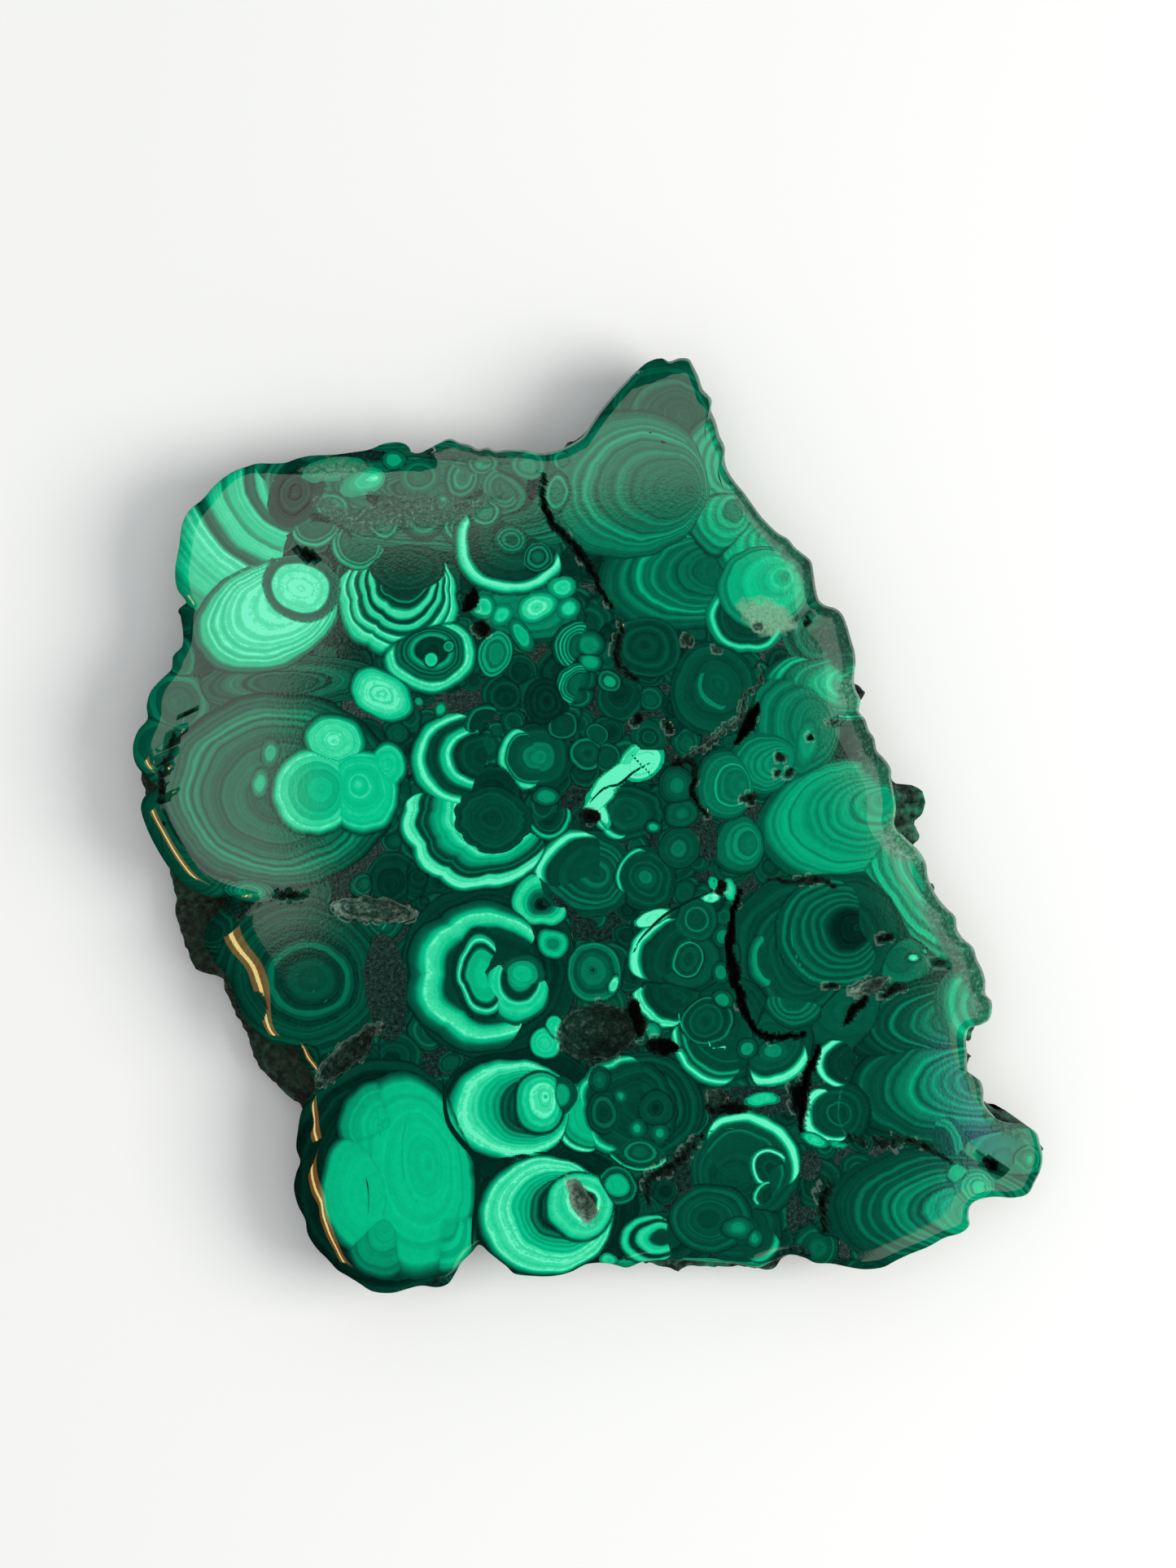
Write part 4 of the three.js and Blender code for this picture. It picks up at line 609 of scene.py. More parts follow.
# Fine veins, seams and bits of lint on the polish: width, tone, and points along each.
VEINS = {
    "pale nodule seam": (0.16, 1.2, [(-28.7, -39.6), (-27.8, -41.4), (-27.1, -44), (-27, -47.4),
        (-27.7, -51.4)]),
    "wedge seam": (0.3, 0.4, [(0.1, 2.2), (0.8, 3.2), (2.2, 4.4), (3.8, 4.8), (5.5, 6.2), (6.8, 7),
        (8, 7.6)]),
    "rim seam": (0.35, 0.6, [(16, -8), (12, -9.8), (9.6, -11.2), (8.2, -12.4), (6.4, -14.4), (5.5, -16.2)]),
    "white seam": (0.2, 5.5, [(25, -12.6), (25.4, -15.7), (27.2, -18.9), (29.9, -20)]),
    "wedge branch up": (0.25, 0.6, [(6.8, 7), (5.2, 8.6)]),
    "wedge branch down": (0.25, 0.6, [(6.8, 7), (8.3, 5.4)]),
    "lower border": (0.7, 0.8, [(-17.8, -31), (-17.2, -36.5), (-15.6, -39), (-13.7, -41.3), (-13.5, -44),
        (-13.6, -46.5), (-14, -49), (-14.2, -52)]),
    "middle border": (0.6, 0.8, [(-13.7, -41.3), (-10.8, -41.4), (-7.4, -40.8), (-5, -40.4)]),
    "faint vein left": (0.14, 6.2, [(-25.4, -32.6), (-25.8, -35), (-25.3, -39), (-24.8, -40.4)]),
    "faint vein right": (0.14, 6.2, [(-19.6, -33.8), (-21.6, -35.4), (-22.6, -38), (-22.8, -41), (-22.4, -44),
        (-21, -46.5), (-19.5, -49), (-18, -51)]),
    "peak crack": (0.4, 0.2, [(7.2, 48.4), (8.6, 47.4), (10.6, 45.8)]),
    "round crack": (0.18, 1.4, [(16, -8), (15.2, -6.4), (14.4, -4.8)]),
    "lint hook": (0.14, 8.4, [(-26, -13.6), (-25.2, -13), (-24.7, -12.2), (-24.5, -11.5), (-23.6, -10.9)]),
    "lint curl": (0.1, 5.6, [(-33, -19.7), (-33.7, -20.7), (-33.3, -22), (-32.3, -22), (-31.7, -21.3),
        (-31.1, -21.8)]),
    "lint scrap": (0.12, 7.5, [(-30, -25), (-29.4, -24.6), (-28.8, -24.7)]),
    "light scar": (0.2, 6, [(2.5, -16), (3.2, -16.2), (4, -17)]),
    "white hook": (0.24, 9, [(14.5, -26.3), (15.5, -27.7), (17, -27.5), (16.8, -28.8)]),
    "white arc": (0.2, 7, [(11.8, -22), (11.2, -23.6), (11.8, -25.4), (12.6, -27)]),
    "three line": (0.2, 6.4, [(12.6, -42), (12.9, -40), (14, -38.4), (16, -37.6), (18.6, -37.5)]),
    "lobe seam": (0.24, 4.6, [(31.8, -38.6), (30.9, -36.4), (30.9, -34), (31.6, -31.6), (32.6, -30.4)]),
    "green hair": (0.14, 5, [(-48.8, 14.6), (-49.8, 12.4), (-50.6, 10.6)]),
}

# How the shapes are worked up, in millimetres unless it says otherwise.
SCATTER = (374761393, 668265263, 1274126177)  # large odd numbers that make even randomness
TINY = 1e-9
FAR = 9.0  # distances are only followed this far
EDGE_STEPS = 12  # points of the outline from one drawn point to the next
PATH_STEPS = 4  # the same for cracks, veins and strips
PATH_MARGIN = 6.0
STRIP_TIP = 0.1  # how far along a half wave the width of a strip starts

# The rolled edge: width and drop of the eased edge, the share of its reach in which a wider roll is whole,
# and over which part of the way round the line where it starts is averaged.
ROLL_ROWS = 6
FACE_ROLL = (1.6, 1.1)
ROLL_CORE = 0.4
ROLL_BLUR = 150

# The broken wall: rows of faces, how far it stands back above and at its foot, where its lower part bends as
# shares of its height, and the height at which it stands out furthest with its wander.
WALL_ROWS = 4
SHELF_ROWS = 6
LOWER_ROWS = 2
WALL_INSET = 0.8
WALL_FOOT = 2
LOWER_WALL = (0.62, 0.34)
BREAK_HEIGHT = 6.2
BREAK_HEIGHT_SEED = 3
BREAK_WANDER = 1.8
WALL_LUMP = 4.5  # how long that wander is along the wall
LEDGE_LIP = 0.6  # how round a ledge's edge is
SAW_CHIP = (0.9, 0.7)  # height and width of the worn edge of the saw cut
BACK_STRIP = 1.2  # between the wall's foot and the back's grid
BREAKS = [(4.1, 0.5), (1.7, 0.42), (0.8, 0.22)]  # pits: spacing and depth
BREAK_SEED = 21
SHELF_PIT = (0.3, 0.9)  # the share of a pit's depth by which a ledge goes back, and down
CHIP_ENDS = 2  # how far a broken facet goes on past the ends of its line
CHIP_LUMPS = (1.3, 0.25)  # a facet's dents: spacing and depth
CHIP_SEED = 41
CHIP_FOOT = 0.4  # the lowest that a facet goes, as a share of the thickness

# Hollows and cracks: the waves of their ragged rims, how shallow a bowl is at its rim, and a crack's width
# at its ends as a share of its widest opening.
RAGGED = [(1.3, 0.3), (0.5, 0.14)]
RAGGED_SEEDS = ((31, 32), (33, 34))
BOWL_RISE = 0.35
CRACK_TIP = 0.25

# The face's grid: direction of its first corner in degrees, half the width of its even middle, rounds of
# evening out, the power with which the outline's detail fades inwards, and the part of the way round over
# which the outline is averaged to leave that detail.
GRID_CORNER = -36
GRID_SQUARE = 40
GRID_ROUNDS = 12
RIM_FADE = 20
OUTLINE_BLUR = 12
SHARP_ANGLE = 42  # faces that meet at more degrees than this keep a sharp edge

# The flat layout: the slab's reach in it, middle and reach of the patches for the face and for the back, and
# for the wall's strips their left end, length, lower edge of the first, step to the second and height.
LAYOUT_REACH = 62
FACE_PATCH = ((0.375, 0.375), 0.37)
BACK_PATCH = ((0.87, 0.13), 0.12)
WALL_PATCH = (0.01, 0.98, 0.77, 0.115, 0.1)

# The growths: the waves by which they wander from their drawn shape, how far they lean sideways for each
# millimetre down, and how a scalloped outline swells.
WARPS = [(3.1, 0.28), (1.1, 0.1)]
WARP_SEEDS = ((11, 13), (12, 14))
COLUMN_LEAN = (0.18, -0.12)
SCALLOP_WANDER = (0.35, 0.2)
SCALLOP_ROUNDNESS = 0.7
SCALLOP_MEAN = 0.75
# How far back from its ends a crescent starts to narrow and by how much: at most, and as shares of its size.
FAN_TAPER = ((3.4, 0.5), (2.2, 0.26))
FAN_CUT = 0.5  # how near to an end of a fan there is no dark border
LAYER_STEP = 100  # more than any growth's age
RING_OFFSET = 7.3  # between the fine rings of one growth and the next
KNOTS = 8  # how many of its growth's tone steps each face of the mesh carries
KNOT_GAP = 1e-4  # keeps two of them apart

# The fillers: spacing, smallest and largest size, how deep in drawn growths one may lie, and how far from its
# middle its eye is, both as shares of its size.
FILLER_SPACING = 3.6
FILLER_REACH = (1.5, 3.4)
FILLER_DEPTH = 0.8
FILLER_LEAN = 0.3
FILLER_SEED = 51

POLISHED, BROKEN, SAWN, CRUMBLY = range(4)

# Colours from dark to pale, each with its place from 0 to 1. The palest band colour is only for tones past 1.
TONES = [(0, "#02150f"), (1 / 9, "#022b21"), (3 / 9, "#03523d"), (5 / 9, "#04805d"), (7 / 9, "#04b17d"),
         (8 / 9, "#06c88f"), (0.9999, "#44e2aa"), (1, "#66f2c2")]
MATRIX_TONES = [(0.36, "#04120f"), (0.54, "#0b2e27"), (0.72, "#2c4d43")]
# Opening floors: the darkest are painted shade of deep, narrow openings, the palest tan grit.
CREVICE_SHADE_AND_GRIT_TONES = [(0.12, "#040c0a"), (0.5, "#18392f"), (0.72, "#405e53"), (1, "#7d9585")]
RIND_TONES = [(0.1, "#12302a"), (0.5, "#274f40"), (1, "#74ad8a")]
BROKEN_TONES = [(0.36, "#0a1614"), (0.5, "#1b2f29"), (0.66, "#40524a")]
SAW_DUST_TONES = [(0.35, "#3f7f6a"), (0.65, "#7fae9a")]

# The bands: the tone below which matrix shows, half the width over which one growth passes into the next, the
# width of the dark line there, the strength of the rings, and the swing of coarse and fine mottling.
BARE_TONE = -0.14
BORDER_SOFTNESS = 0.035
SEAM_WIDTH = 0.22
RING_SWING = 2.6
BAND_MOTTLE = 0.1
BAND_FIBRES = 0.08
VEIN_EDGE = (-0.03, 0.05)  # from where to where a vein fades out
SPECK_RANGE = (0.3, 0.7)  # the noise of the darkest and of the palest specks

# The weathered skin: how much of the bands it hides, from where to where it fades out, how ragged its edge
# is, and how much paler and darker its specks are.
RIND_COVER = 0.85
RIND_EDGE = (-0.7, 0.3)
RIND_RAGGED = 2.4
RIND_SPECKS = 0.3

# Hollows and cracks: how far out and in the pale grit reaches at a rim and how pale it is, how ragged and how
# soft the rim is, and how much paler and darker the floor's specks and its mottling are.
RIM_GRIT = (0.1, -0.4, 0.26)
RIM_RAGGED = 0.7
RIM_SOFTNESS = 0.14
FLOOR_SPECKS = 0.24
FLOOR_MOTTLE = 0.9

# The surfaces: how strongly light bends in malachite, roughness and waviness of the good and of the poor
# polish, and how much matrix covers the broken sides' bands and dust the sawn ones.
STONE_IOR = 1.87
POLISH_ROUGHNESS = 0.045
DULL_ROUGHNESS = 0.11
POLISH_WAVES = 0.005
DULL_WAVES = 0.03
MATRIX_STAIN = 0.45
SAW_DUST_COVER = 0.38

# The lights in metres: name, place, size and colour of the two wide ones; then where the warm strips at the
# left are, what they shine on, their length, and name, width, share of the power and colour of each.
TOP_LIGHT = ("top light", (0.05, -0.1, 1.9), 1.7, "#ffffff")
KEY_LIGHT = ("key light", (0.65, -0.08, 0.6), 0.5, "#fffdf8")
STRIP_PLACE = (-0.5, -0.26, 0.68)
STRIP_TARGET = (-0.04, -0.03, 0)
STRIP_LENGTH = 0.34
WARM_STRIPS = [("warm strip", 0.12, 0.45, "#ffdc8c"), ("warm halo", 0.5, 0.55, "#cf7f34")]

# The part of the face that mirrors the dark room over the camera; the rest mirrors the pale ceiling.
CLEAR_REGION = [
    (-31, 33.2), (-16.2, 33.2), (-5.2, 39.2), (3.8, 40), (14.8, 41.2), (18.3, 37.7), (23.8, 34.2),
    (26.8, 27.2), (28.3, 20.2), (30.8, 14.2), (32.3, 7.2), (36.8, 1.2), (38.8, -6.8), (41.8, -13.8),
    (44.3, -18.8), (44.8, -27.8), (46.3, -32.8), (47.8, -38), (46, -47), (44, -62), (-60, -62),
    (-60, -15), (-46.5, -13.6), (-42, -13.8), (-39.2, -16.2), (-36.6, -14.4), (-33, -12.6), (-31.5, -9),
    (-33.5, -6), (-36.5, -2), (-36.5, 18), (-31.5, 20), (-30.5, 26),
]

# The parts that mirror the blue edge of the dark room.
BLUE_REGIONS = [
    [
        (44.4, -26), (46.2, -26.6), (46.6, -30), (47.4, -34), (49.4, -37.6), (51.4, -40), (50, -41.4),
        (47.8, -39.2), (46, -36), (45.2, -31),
    ],
    [(45.4, -45.4), (47.6, -45.6), (47, -51), (44.8, -51.4)],
]

# The studio in metres: the white paper and how far it lies under the slab, how far the dark walls are, the
# ceiling's height and its pale part, and the dark sheet that lies on the paper at the left and in front.
FLOOR_REACH = 4
FLOOR_SINK = 0.00002
ROOM_REACH = 1.2
CEILING_HEIGHT = 2.0
PALE_CEILING = [
    (-0.27, -0.25), (0.15, -0.25), (0.15, -ROOM_REACH), (ROOM_REACH, -ROOM_REACH), (ROOM_REACH, ROOM_REACH),
    (-0.7, ROOM_REACH), (-0.7, 0.1), (-0.27, -0.02),
]
SHEET_SINK = 0.00001
DARK_SHEET = [
    (-ROOM_REACH, -ROOM_REACH), (ROOM_REACH, -ROOM_REACH), (ROOM_REACH, -0.06), (-0.03, -0.06),
    (-0.03, ROOM_REACH), (-ROOM_REACH, ROOM_REACH),
]


def hashed(i, j, seed):
    """A random number from 0 to 1 for each whole-numbered place."""
    mask = 0xFFFFFFFF
    across, up, again = SCATTER
    h = (i.astype(np.int64) * across + j.astype(np.int64) * up + seed * again) & mask
    h = ((h ^ (h >> 13)) * again) & mask
    return ((h ^ (h >> 16)) & 0xFFFFFF) / 0xFFFFFF


def eased(t):
    """A share from 0 to 1 that starts and ends gently."""
    t = np.clip(t, 0, 1)
    return t * t * (3 - 2 * t)


def lumps(x, y, size, seed, period=None):
    """Smooth noise from -1 to 1 with lumps of the given size; a period closes it along x."""
    u = x / size
    v = y / size
    i = np.floor(u)
    j = np.floor(v)
    a = eased(u - i)
    b = eased(v - j)
    near = i % period if period else i
    far = (i + 1) % period if period else i + 1
    low = hashed(near, j, seed) * (1 - a) + hashed(far, j, seed) * a
    high = hashed(near, j + 1, seed) * (1 - a) + hashed(far, j + 1, seed) * a
    return 2 * (low * (1 - b) + high * b) - 1


def pushed(x, y, waves, seeds):
    """Places pushed about by noise: the spacing and height of its waves, and their seeds for x and for y."""
    dx, dy = (
        sum(height * lumps(x, y, spacing, seed) for (spacing, height), seed in zip(waves, axis_seeds))
        for axis_seeds in seeds
    )
    return x + dx, y + dy


def smooth_path(points, closed, steps):
    """A centripetal Catmull-Rom curve through the points."""
    p = np.array(points, float)
    if closed:
        p = np.concatenate([p[-1:], p, p[:2]])
    else:
        p = np.concatenate([2 * p[:1] - p[1:2], p, 2 * p[-1:] - p[-2:-1]])
    knots = np.concatenate([[0], np.cumsum(np.sqrt(np.linalg.norm(np.diff(p, axis=0), axis=1)))])
    pieces = []
    for k in range(1, len(p) - 2):
        t0, t1, t2, t3 = knots[k - 1:k + 3]
        t = np.linspace(t1, t2, steps, endpoint=False)[:, None]
        a1 = (t1 - t) / (t1 - t0) * p[k - 1] + (t - t0) / (t1 - t0) * p[k]
        a2 = (t2 - t) / (t2 - t1) * p[k] + (t - t1) / (t2 - t1) * p[k + 1]
        a3 = (t3 - t) / (t3 - t2) * p[k + 1] + (t - t2) / (t3 - t2) * p[k + 2]
        b1 = (t2 - t) / (t2 - t0) * a1 + (t - t0) / (t2 - t0) * a2
        b2 = (t3 - t) / (t3 - t1) * a2 + (t - t1) / (t3 - t1) * a3
        pieces.append((t2 - t) / (t2 - t1) * b1 + (t - t1) / (t2 - t1) * b2)
    if not closed:
        pieces.append(p[-2][None])
    return np.concatenate(pieces)


def even_edge(count):
    """The face's edge as points at even steps, from the one that is straight below and right."""
    line = smooth_path(EDGE_POINTS, True, EDGE_STEPS)
    loop = np.concatenate([line, line[:1]])
    run = np.concatenate([[0], np.cumsum(np.linalg.norm(np.diff(loop, axis=0), axis=1))])
    at = np.arange(count) / count * run[-1]
    edge = np.stack([np.interp(at, run, loop[:, 0]), np.interp(at, run, loop[:, 1])], 1)
    first = np.argmin(np.abs(np.arctan2(edge[:, 1], edge[:, 0]) - math.radians(GRID_CORNER)))
    return np.roll(edge, -first, axis=0), run[-1]


def averaged(ring, reach):
    """A closed row of numbers or places, each averaged with its neighbours on both sides."""
    return sum(np.roll(ring, k, axis=0) for k in range(-reach, reach + 1)) / (2 * reach + 1)


def roll_at(edge):
    """How far in the rolled edge starts, and how far it drops, at each point of the edge."""
    width = np.full(len(edge), FACE_ROLL[0])
    drop = np.full(len(edge), FACE_ROLL[1])
    for at, reach, wide, deep in ROLLS:
        away = np.linalg.norm(edge - np.array(at), axis=1)
        near = 1 - eased((away / reach - ROLL_CORE) / (1 - ROLL_CORE))
        width = np.maximum(width, FACE_ROLL[0] + (wide - FACE_ROLL[0]) * near)
        drop = np.maximum(drop, FACE_ROLL[1] + (deep - FACE_ROLL[1]) * near)
    return width, drop


def ledge_at(angle):
    """How far out each ledge stands and the height of its top, where there is one."""
    reach = np.zeros(len(angle))
    top = np.zeros(len(angle))
    for height, edge in LEDGES.values():
        for (ax, ay), (bx, by) in zip(edge, edge[1:]):
            start = (math.atan2(ay, ax) - angle + math.pi) % math.tau - math.pi
            end = (math.atan2(by, bx) - angle + math.pi) % math.tau - math.pi
            spans = (start <= 0) & (end > 0) & (end - start < 1) & (top == 0)
            share = np.clip(-start / np.maximum(end - start, TINY), 0, 1)
            far = math.hypot(ax, ay) + share * (math.hypot(bx, by) - math.hypot(ax, ay))
            reach = np.where(spans, far, reach)
            top = np.where(spans, height, top)
    return reach, top


def break_height(count, perimeter):
    """The height at which the wall stands out furthest, as it wanders along the edge."""
    period = round(perimeter / WALL_LUMP)
    along = np.arange(count) / count * period
    return BREAK_HEIGHT + BREAK_WANDER * lumps(along, 0 * along, 1, BREAK_HEIGHT_SEED, period)


def edge_section(edge, perimeter):
    """Lines from the polished face over the edge and down to the back, as reach and height rows."""
    count = len(edge)
    angle = np.arctan2(edge[:, 1], edge[:, 0])
    reach = np.linalg.norm(edge, axis=1)
    width, drop = roll_at(edge)
    start = np.minimum(averaged(reach - width, count // ROLL_BLUR), reach - 0.5 * FACE_ROLL[0])
    width = reach - start
    out, ledge_top = ledge_at(angle)
    wall = reach - WALL_INSET
    has_ledge = ledge_top > 0
    outer = np.where(has_ledge, np.maximum(out, wall), wall)
    wanted = np.where(has_ledge, ledge_top, break_height(count, perimeter))
    top = np.minimum(wanted, THICKNESS - drop - 2 * LEDGE_LIP)
    rows = []
    for k in range(ROLL_ROWS + 1):
        turn = k / ROLL_ROWS * math.pi / 2
        rows.append((reach - width * (1 - math.sin(turn)), THICKNESS - drop * (1 - math.cos(turn)), "roll"))
    corners = [
        (wall, top + LEDGE_LIP, WALL_ROWS, "wall"),
        (outer - LEDGE_LIP, top, SHELF_ROWS, "shelf"),
        (outer, top - LEDGE_LIP, 1, "wall"),
        (outer - WALL_FOOT * (1 - LOWER_WALL[0]), LOWER_WALL[0] * top, LOWER_ROWS, "wall"),
        (outer - WALL_FOOT * (1 - LOWER_WALL[1]), LOWER_WALL[1] * top, LOWER_ROWS, "wall"),
        (outer - WALL_FOOT, np.full(count, SAW_CHIP[0]), LOWER_ROWS, "wall"),
        (outer - WALL_FOOT - SAW_CHIP[1], np.zeros(count), 1, "foot"),
    ]
    for far, height, steps, kind in corners:
        last_far, last_height, _ = rows[-1]
        for k in range(1, steps + 1):
            share = k / steps
            low = last_height + share * (height - last_height)
            rows.append((last_far + share * (far - last_far), low, kind))
    return rows, angle


def roughened(rows, direction):
    """Breaks the wall and the ledges up, only ever inwards and downwards."""
    made = []
    for reach, height, kind in rows:
        if kind in ("wall", "shelf"):
            x = reach * direction[:, 0] + height
            y = reach * direction[:, 1] - height
            pit = sum(
                depth * np.abs(lumps(x, y, spacing, BREAK_SEED + k))
                for k, (spacing, depth) in enumerate(BREAKS)
            )
            if kind == "shelf":
                reach = reach - SHELF_PIT[0] * pit
                height = height - SHELF_PIT[1] * pit
            else:
                reach = reach - pit
            height = np.maximum(height, SAW_CHIP[0])
        made.append((reach, height))
    return made


def hollow_at(x, y, middle, mouth, turn, deep):
    """Distance to the rim of a bowl with an oval mouth, negative inside it, and the bowl's depth."""
    c = math.cos(math.radians(turn))
    s = math.sin(math.radians(turn))
    dx = x - middle[0]
    dy = y - middle[1]
    a = (dx * c + dy * s) / (mouth[0] / 2)
    b = (-dx * s + dy * c) / (mouth[1] / 2)
    out = np.sqrt(a * a + b * b)
    widest = math.sqrt(1 - (BOWL_RISE / (1 + BOWL_RISE)) ** 2)
    depth = deep * ((1 + BOWL_RISE) * np.sqrt(np.clip(1 - (out * widest) ** 2, 0, 1)) - BOWL_RISE)
    return (out - 1) * min(mouth) / 2, depth


def crack_at(x, y, wide, deep, points):
    """Distance to the rim of a crack that narrows to its ends, negative inside it, and its depth."""
    away, share = along_path(x, y, smooth_path(points, False, PATH_STEPS))
    half = 0.5 * wide * (CRACK_TIP + (1 - CRACK_TIP) * np.sin(math.pi * share))
    return away - half, deep * np.sqrt(np.clip(1 - (away / half) ** 2, 0, 1))


def opening(x, y):
    """Distance to the nearest opening's rim, negative inside it, the depth and how pale its floor is, dark
    for painted shade.
    """
    ragged = pushed(x, y, RAGGED, RAGGED_SEEDS)
    found = [(pale, hollow_at(*ragged, *shape)) for *shape, pale in HOLLOWS]
    found += [(pale, crack_at(*ragged, wide, deep, points)) for wide, deep, pale, points in CRACKS.values()]
    rim = np.full(x.shape, FAR)
    depth = np.zeros(x.shape)
    floor = np.zeros(x.shape)
    for pale, (away, deep) in found:
        floor = np.where(away < rim, pale, floor)
        rim = np.minimum(rim, away)
        depth = np.maximum(depth, deep)
    return rim, depth, floor


def along_path(x, y, path):
    """Distance to a path, and the share of its length at the nearest place."""
    run = np.concatenate([[0], np.cumsum(np.linalg.norm(np.diff(path, axis=0), axis=1))])
    low = path.min(0) - PATH_MARGIN
    high = path.max(0) + PATH_MARGIN
    close = (x > low[0]) & (x < high[0]) & (y > low[1]) & (y < high[1])
    px = x[close]
    py = y[close]
    best = np.full(px.shape, FAR)
    where = np.zeros(px.shape)
    for k in range(len(path) - 1):
        step = path[k + 1] - path[k]
        length = run[k + 1] - run[k]
        t = np.clip(((px - path[k, 0]) * step[0] + (py - path[k, 1]) * step[1]) / length**2, 0, 1)
        d = np.hypot(px - path[k, 0] - t * step[0], py - path[k, 1] - t * step[1])
        nearer = d < best
        best = np.where(nearer, d, best)
        where = np.where(nearer, (run[k] + t * length) / run[-1], where)
    away = np.full(x.shape, FAR)
    share = np.zeros(x.shape)
    away[close] = best
    share[close] = where
    return away, share


def chipped(x, y, z):
    """Lowers what stands above a broken facet."""
    for (sx, sy), (tx, ty), slope in CHIPS:
        length = math.hypot(tx - sx, ty - sy)
        ux = (tx - sx) / length
        uy = (ty - sy) / length
        past = -(x - sx) * uy + (y - sy) * ux
        within = (x - sx) * ux + (y - sy) * uy
        inside = (within > -CHIP_ENDS) & (within < length + CHIP_ENDS) & (past > 0)
        rough = CHIP_LUMPS[1] * np.abs(lumps(x, y, CHIP_LUMPS[0], CHIP_SEED))
        facet = THICKNESS - math.tan(math.radians(slope)) * past - rough
        z = np.where(inside, np.minimum(z, np.maximum(facet, CHIP_FOOT * THICKNESS)), z)
    return z


# The growths, as numbers for each corner of the mesh

def gauge(g, x, y):
    """How far a point is on its way from a growth's eye (0) to its outline (1), and its age in mm.

    The third part tells whether the point is nearest to an end of the growth's fan.
    """
    c = math.cos(g["turn"])
    s = math.sin(g["turn"])
    rx, ry = g["radii"]
    ex, ey = g["eye"]
    ax, ay = g["at"]
    qx = ((x - ex) * c + (y - ey) * s) / rx
    qy = (-(x - ex) * s + (y - ey) * c) / ry
    vx = ((ex - ax) * c + (ey - ay) * s) / rx
    vy = (-(ex - ax) * s + (ey - ay) * c) / ry
    if g["scallops"]:
        swell = scalloped(np.arctan2(qy, qx), g["scallops"], g["depth"])
        qx = qx / swell
        qy = qy / swell
    qv = qx * vx + qy * vy
    vv = vx * vx + vy * vy
    t = (qv + np.sqrt(qv * qv + (1 - vv) * (qx * qx + qy * qy))) / (1 - vv)
    age = (t - 1) * g["size"]
    if g["fan"]:
        return t, *fanned(g, x, y, age)
    return t, age, np.zeros(x.shape, bool)


def scalloped(angle, count, depth):
    """How much an outline with scallops of uneven width swells in each direction."""
    wander = angle + SCALLOP_WANDER[0] * np.sin(2 * angle) + SCALLOP_WANDER[1] * np.sin(3 * angle)
    return 1 + depth * (np.abs(np.cos(0.5 * count * wander)) ** SCALLOP_ROUNDNESS - SCALLOP_MEAN)


def fanned(g, x, y, age):
    """A growth's age with its fan cut out of it, and whether a point is nearest to an end of the fan."""
    ex, ey = g["eye"]
    start, end = (math.radians(a) for a in g["fan"])
    past_start = -math.sin(start) * (x - ex) + math.cos(start) * (y - ey)
    past_end = math.sin(end) * (x - ex) - math.cos(end) * (y - ey)
    both = np.maximum if end - start <= math.pi else np.minimum
    outside = both(-past_start, -past_end)
    reach, depth = (min(most, share * g["size"]) for most, share in FAN_TAPER)
    age = age + depth * np.clip(1 + outside / reach, 0, 1) ** 2
    return np.maximum(age, outside), outside > age - FAN_CUT


def fillers():
    """Small dark growths that fill what the drawn ones leave bare, scattered on a jittered grid."""
    low = np.min(EDGE_POINTS, axis=0)
    high = np.max(EDGE_POINTS, axis=0)
    counts = np.ceil((high - low) / FILLER_SPACING).astype(int)
    i, j = (a.ravel() for a in np.meshgrid(np.arange(counts[0]), np.arange(counts[1]), indexing="ij"))
    across, up, size, kind, lean = (hashed(i, j, FILLER_SEED + k) for k in range(5))
    x = low[0] + (i + across) * FILLER_SPACING
    y = low[1] + (j + up) * FILLER_SPACING
    reach = FILLER_REACH[0] + (FILLER_REACH[1] - FILLER_REACH[0]) * size**2
    depth = np.max([-gauge(g, x, y)[1] for layer in LAYERS for g in layer.values()], axis=0)
    made = []
    for k in np.flatnonzero(depth < FILLER_DEPTH * reach):
        bands = FILLER_BANDS[int(kind[k] * len(FILLER_BANDS))]
        turn = lean[k] * math.tau
        away = FILLER_LEAN * reach[k]
        eye = (x[k] + away * math.cos(turn), y[k] + away * math.sin(turn))
        made.append(growth((x[k], y[k]), reach[k], bands, eye=eye))
    return made


# Every growth with the number of its layer. The fillers lie lowest.
ALL_GROWTHS = [(0, g) for g in fillers()]
ALL_GROWTHS += [(number, g) for number, layer in enumerate(LAYERS, 1) for g in layer.values()]


def winners(x, y):
    """For each point, the growth that shows there and the one past the nearest border.

    The third part tells whether that border is the first growth's own outline over the other one.
    """
    ages = np.stack([gauge(g, x, y)[1] for _, g in ALL_GROWTHS]).astype(np.float32)
    layers = np.array([layer for layer, _ in ALL_GROWTHS], np.float32)[:, None]
    inside = LAYER_STEP * layers + LAYER_STEP / 2 - np.maximum(ages, 1 - LAYER_STEP / 2)
    score = np.where(ages < 0, inside, -1)
    first = np.where(score.max(0) >= 0, score.argmax(0), -1)
    shows = first >= 0
    top = (np.maximum(first, 0), np.arange(x.size))
    score[top] = np.where(shows, -1, score[top])
    beneath = np.where(score.max(0) >= 0, score.argmax(0), -1)
    own_layer = np.where(shows, layers[top[0], 0], -1)
    own_age = np.where(shows, ages[top], 0)
    field = np.where(layers > own_layer, -ages, np.where(layers == own_layer, (own_age - ages) / 2, -np.inf))
    field[top] = np.where(shows, -np.inf, field[top])
    under = shows & (own_age > field.max(0))
    return first, np.where(under, beneath, field.argmax(0)), under


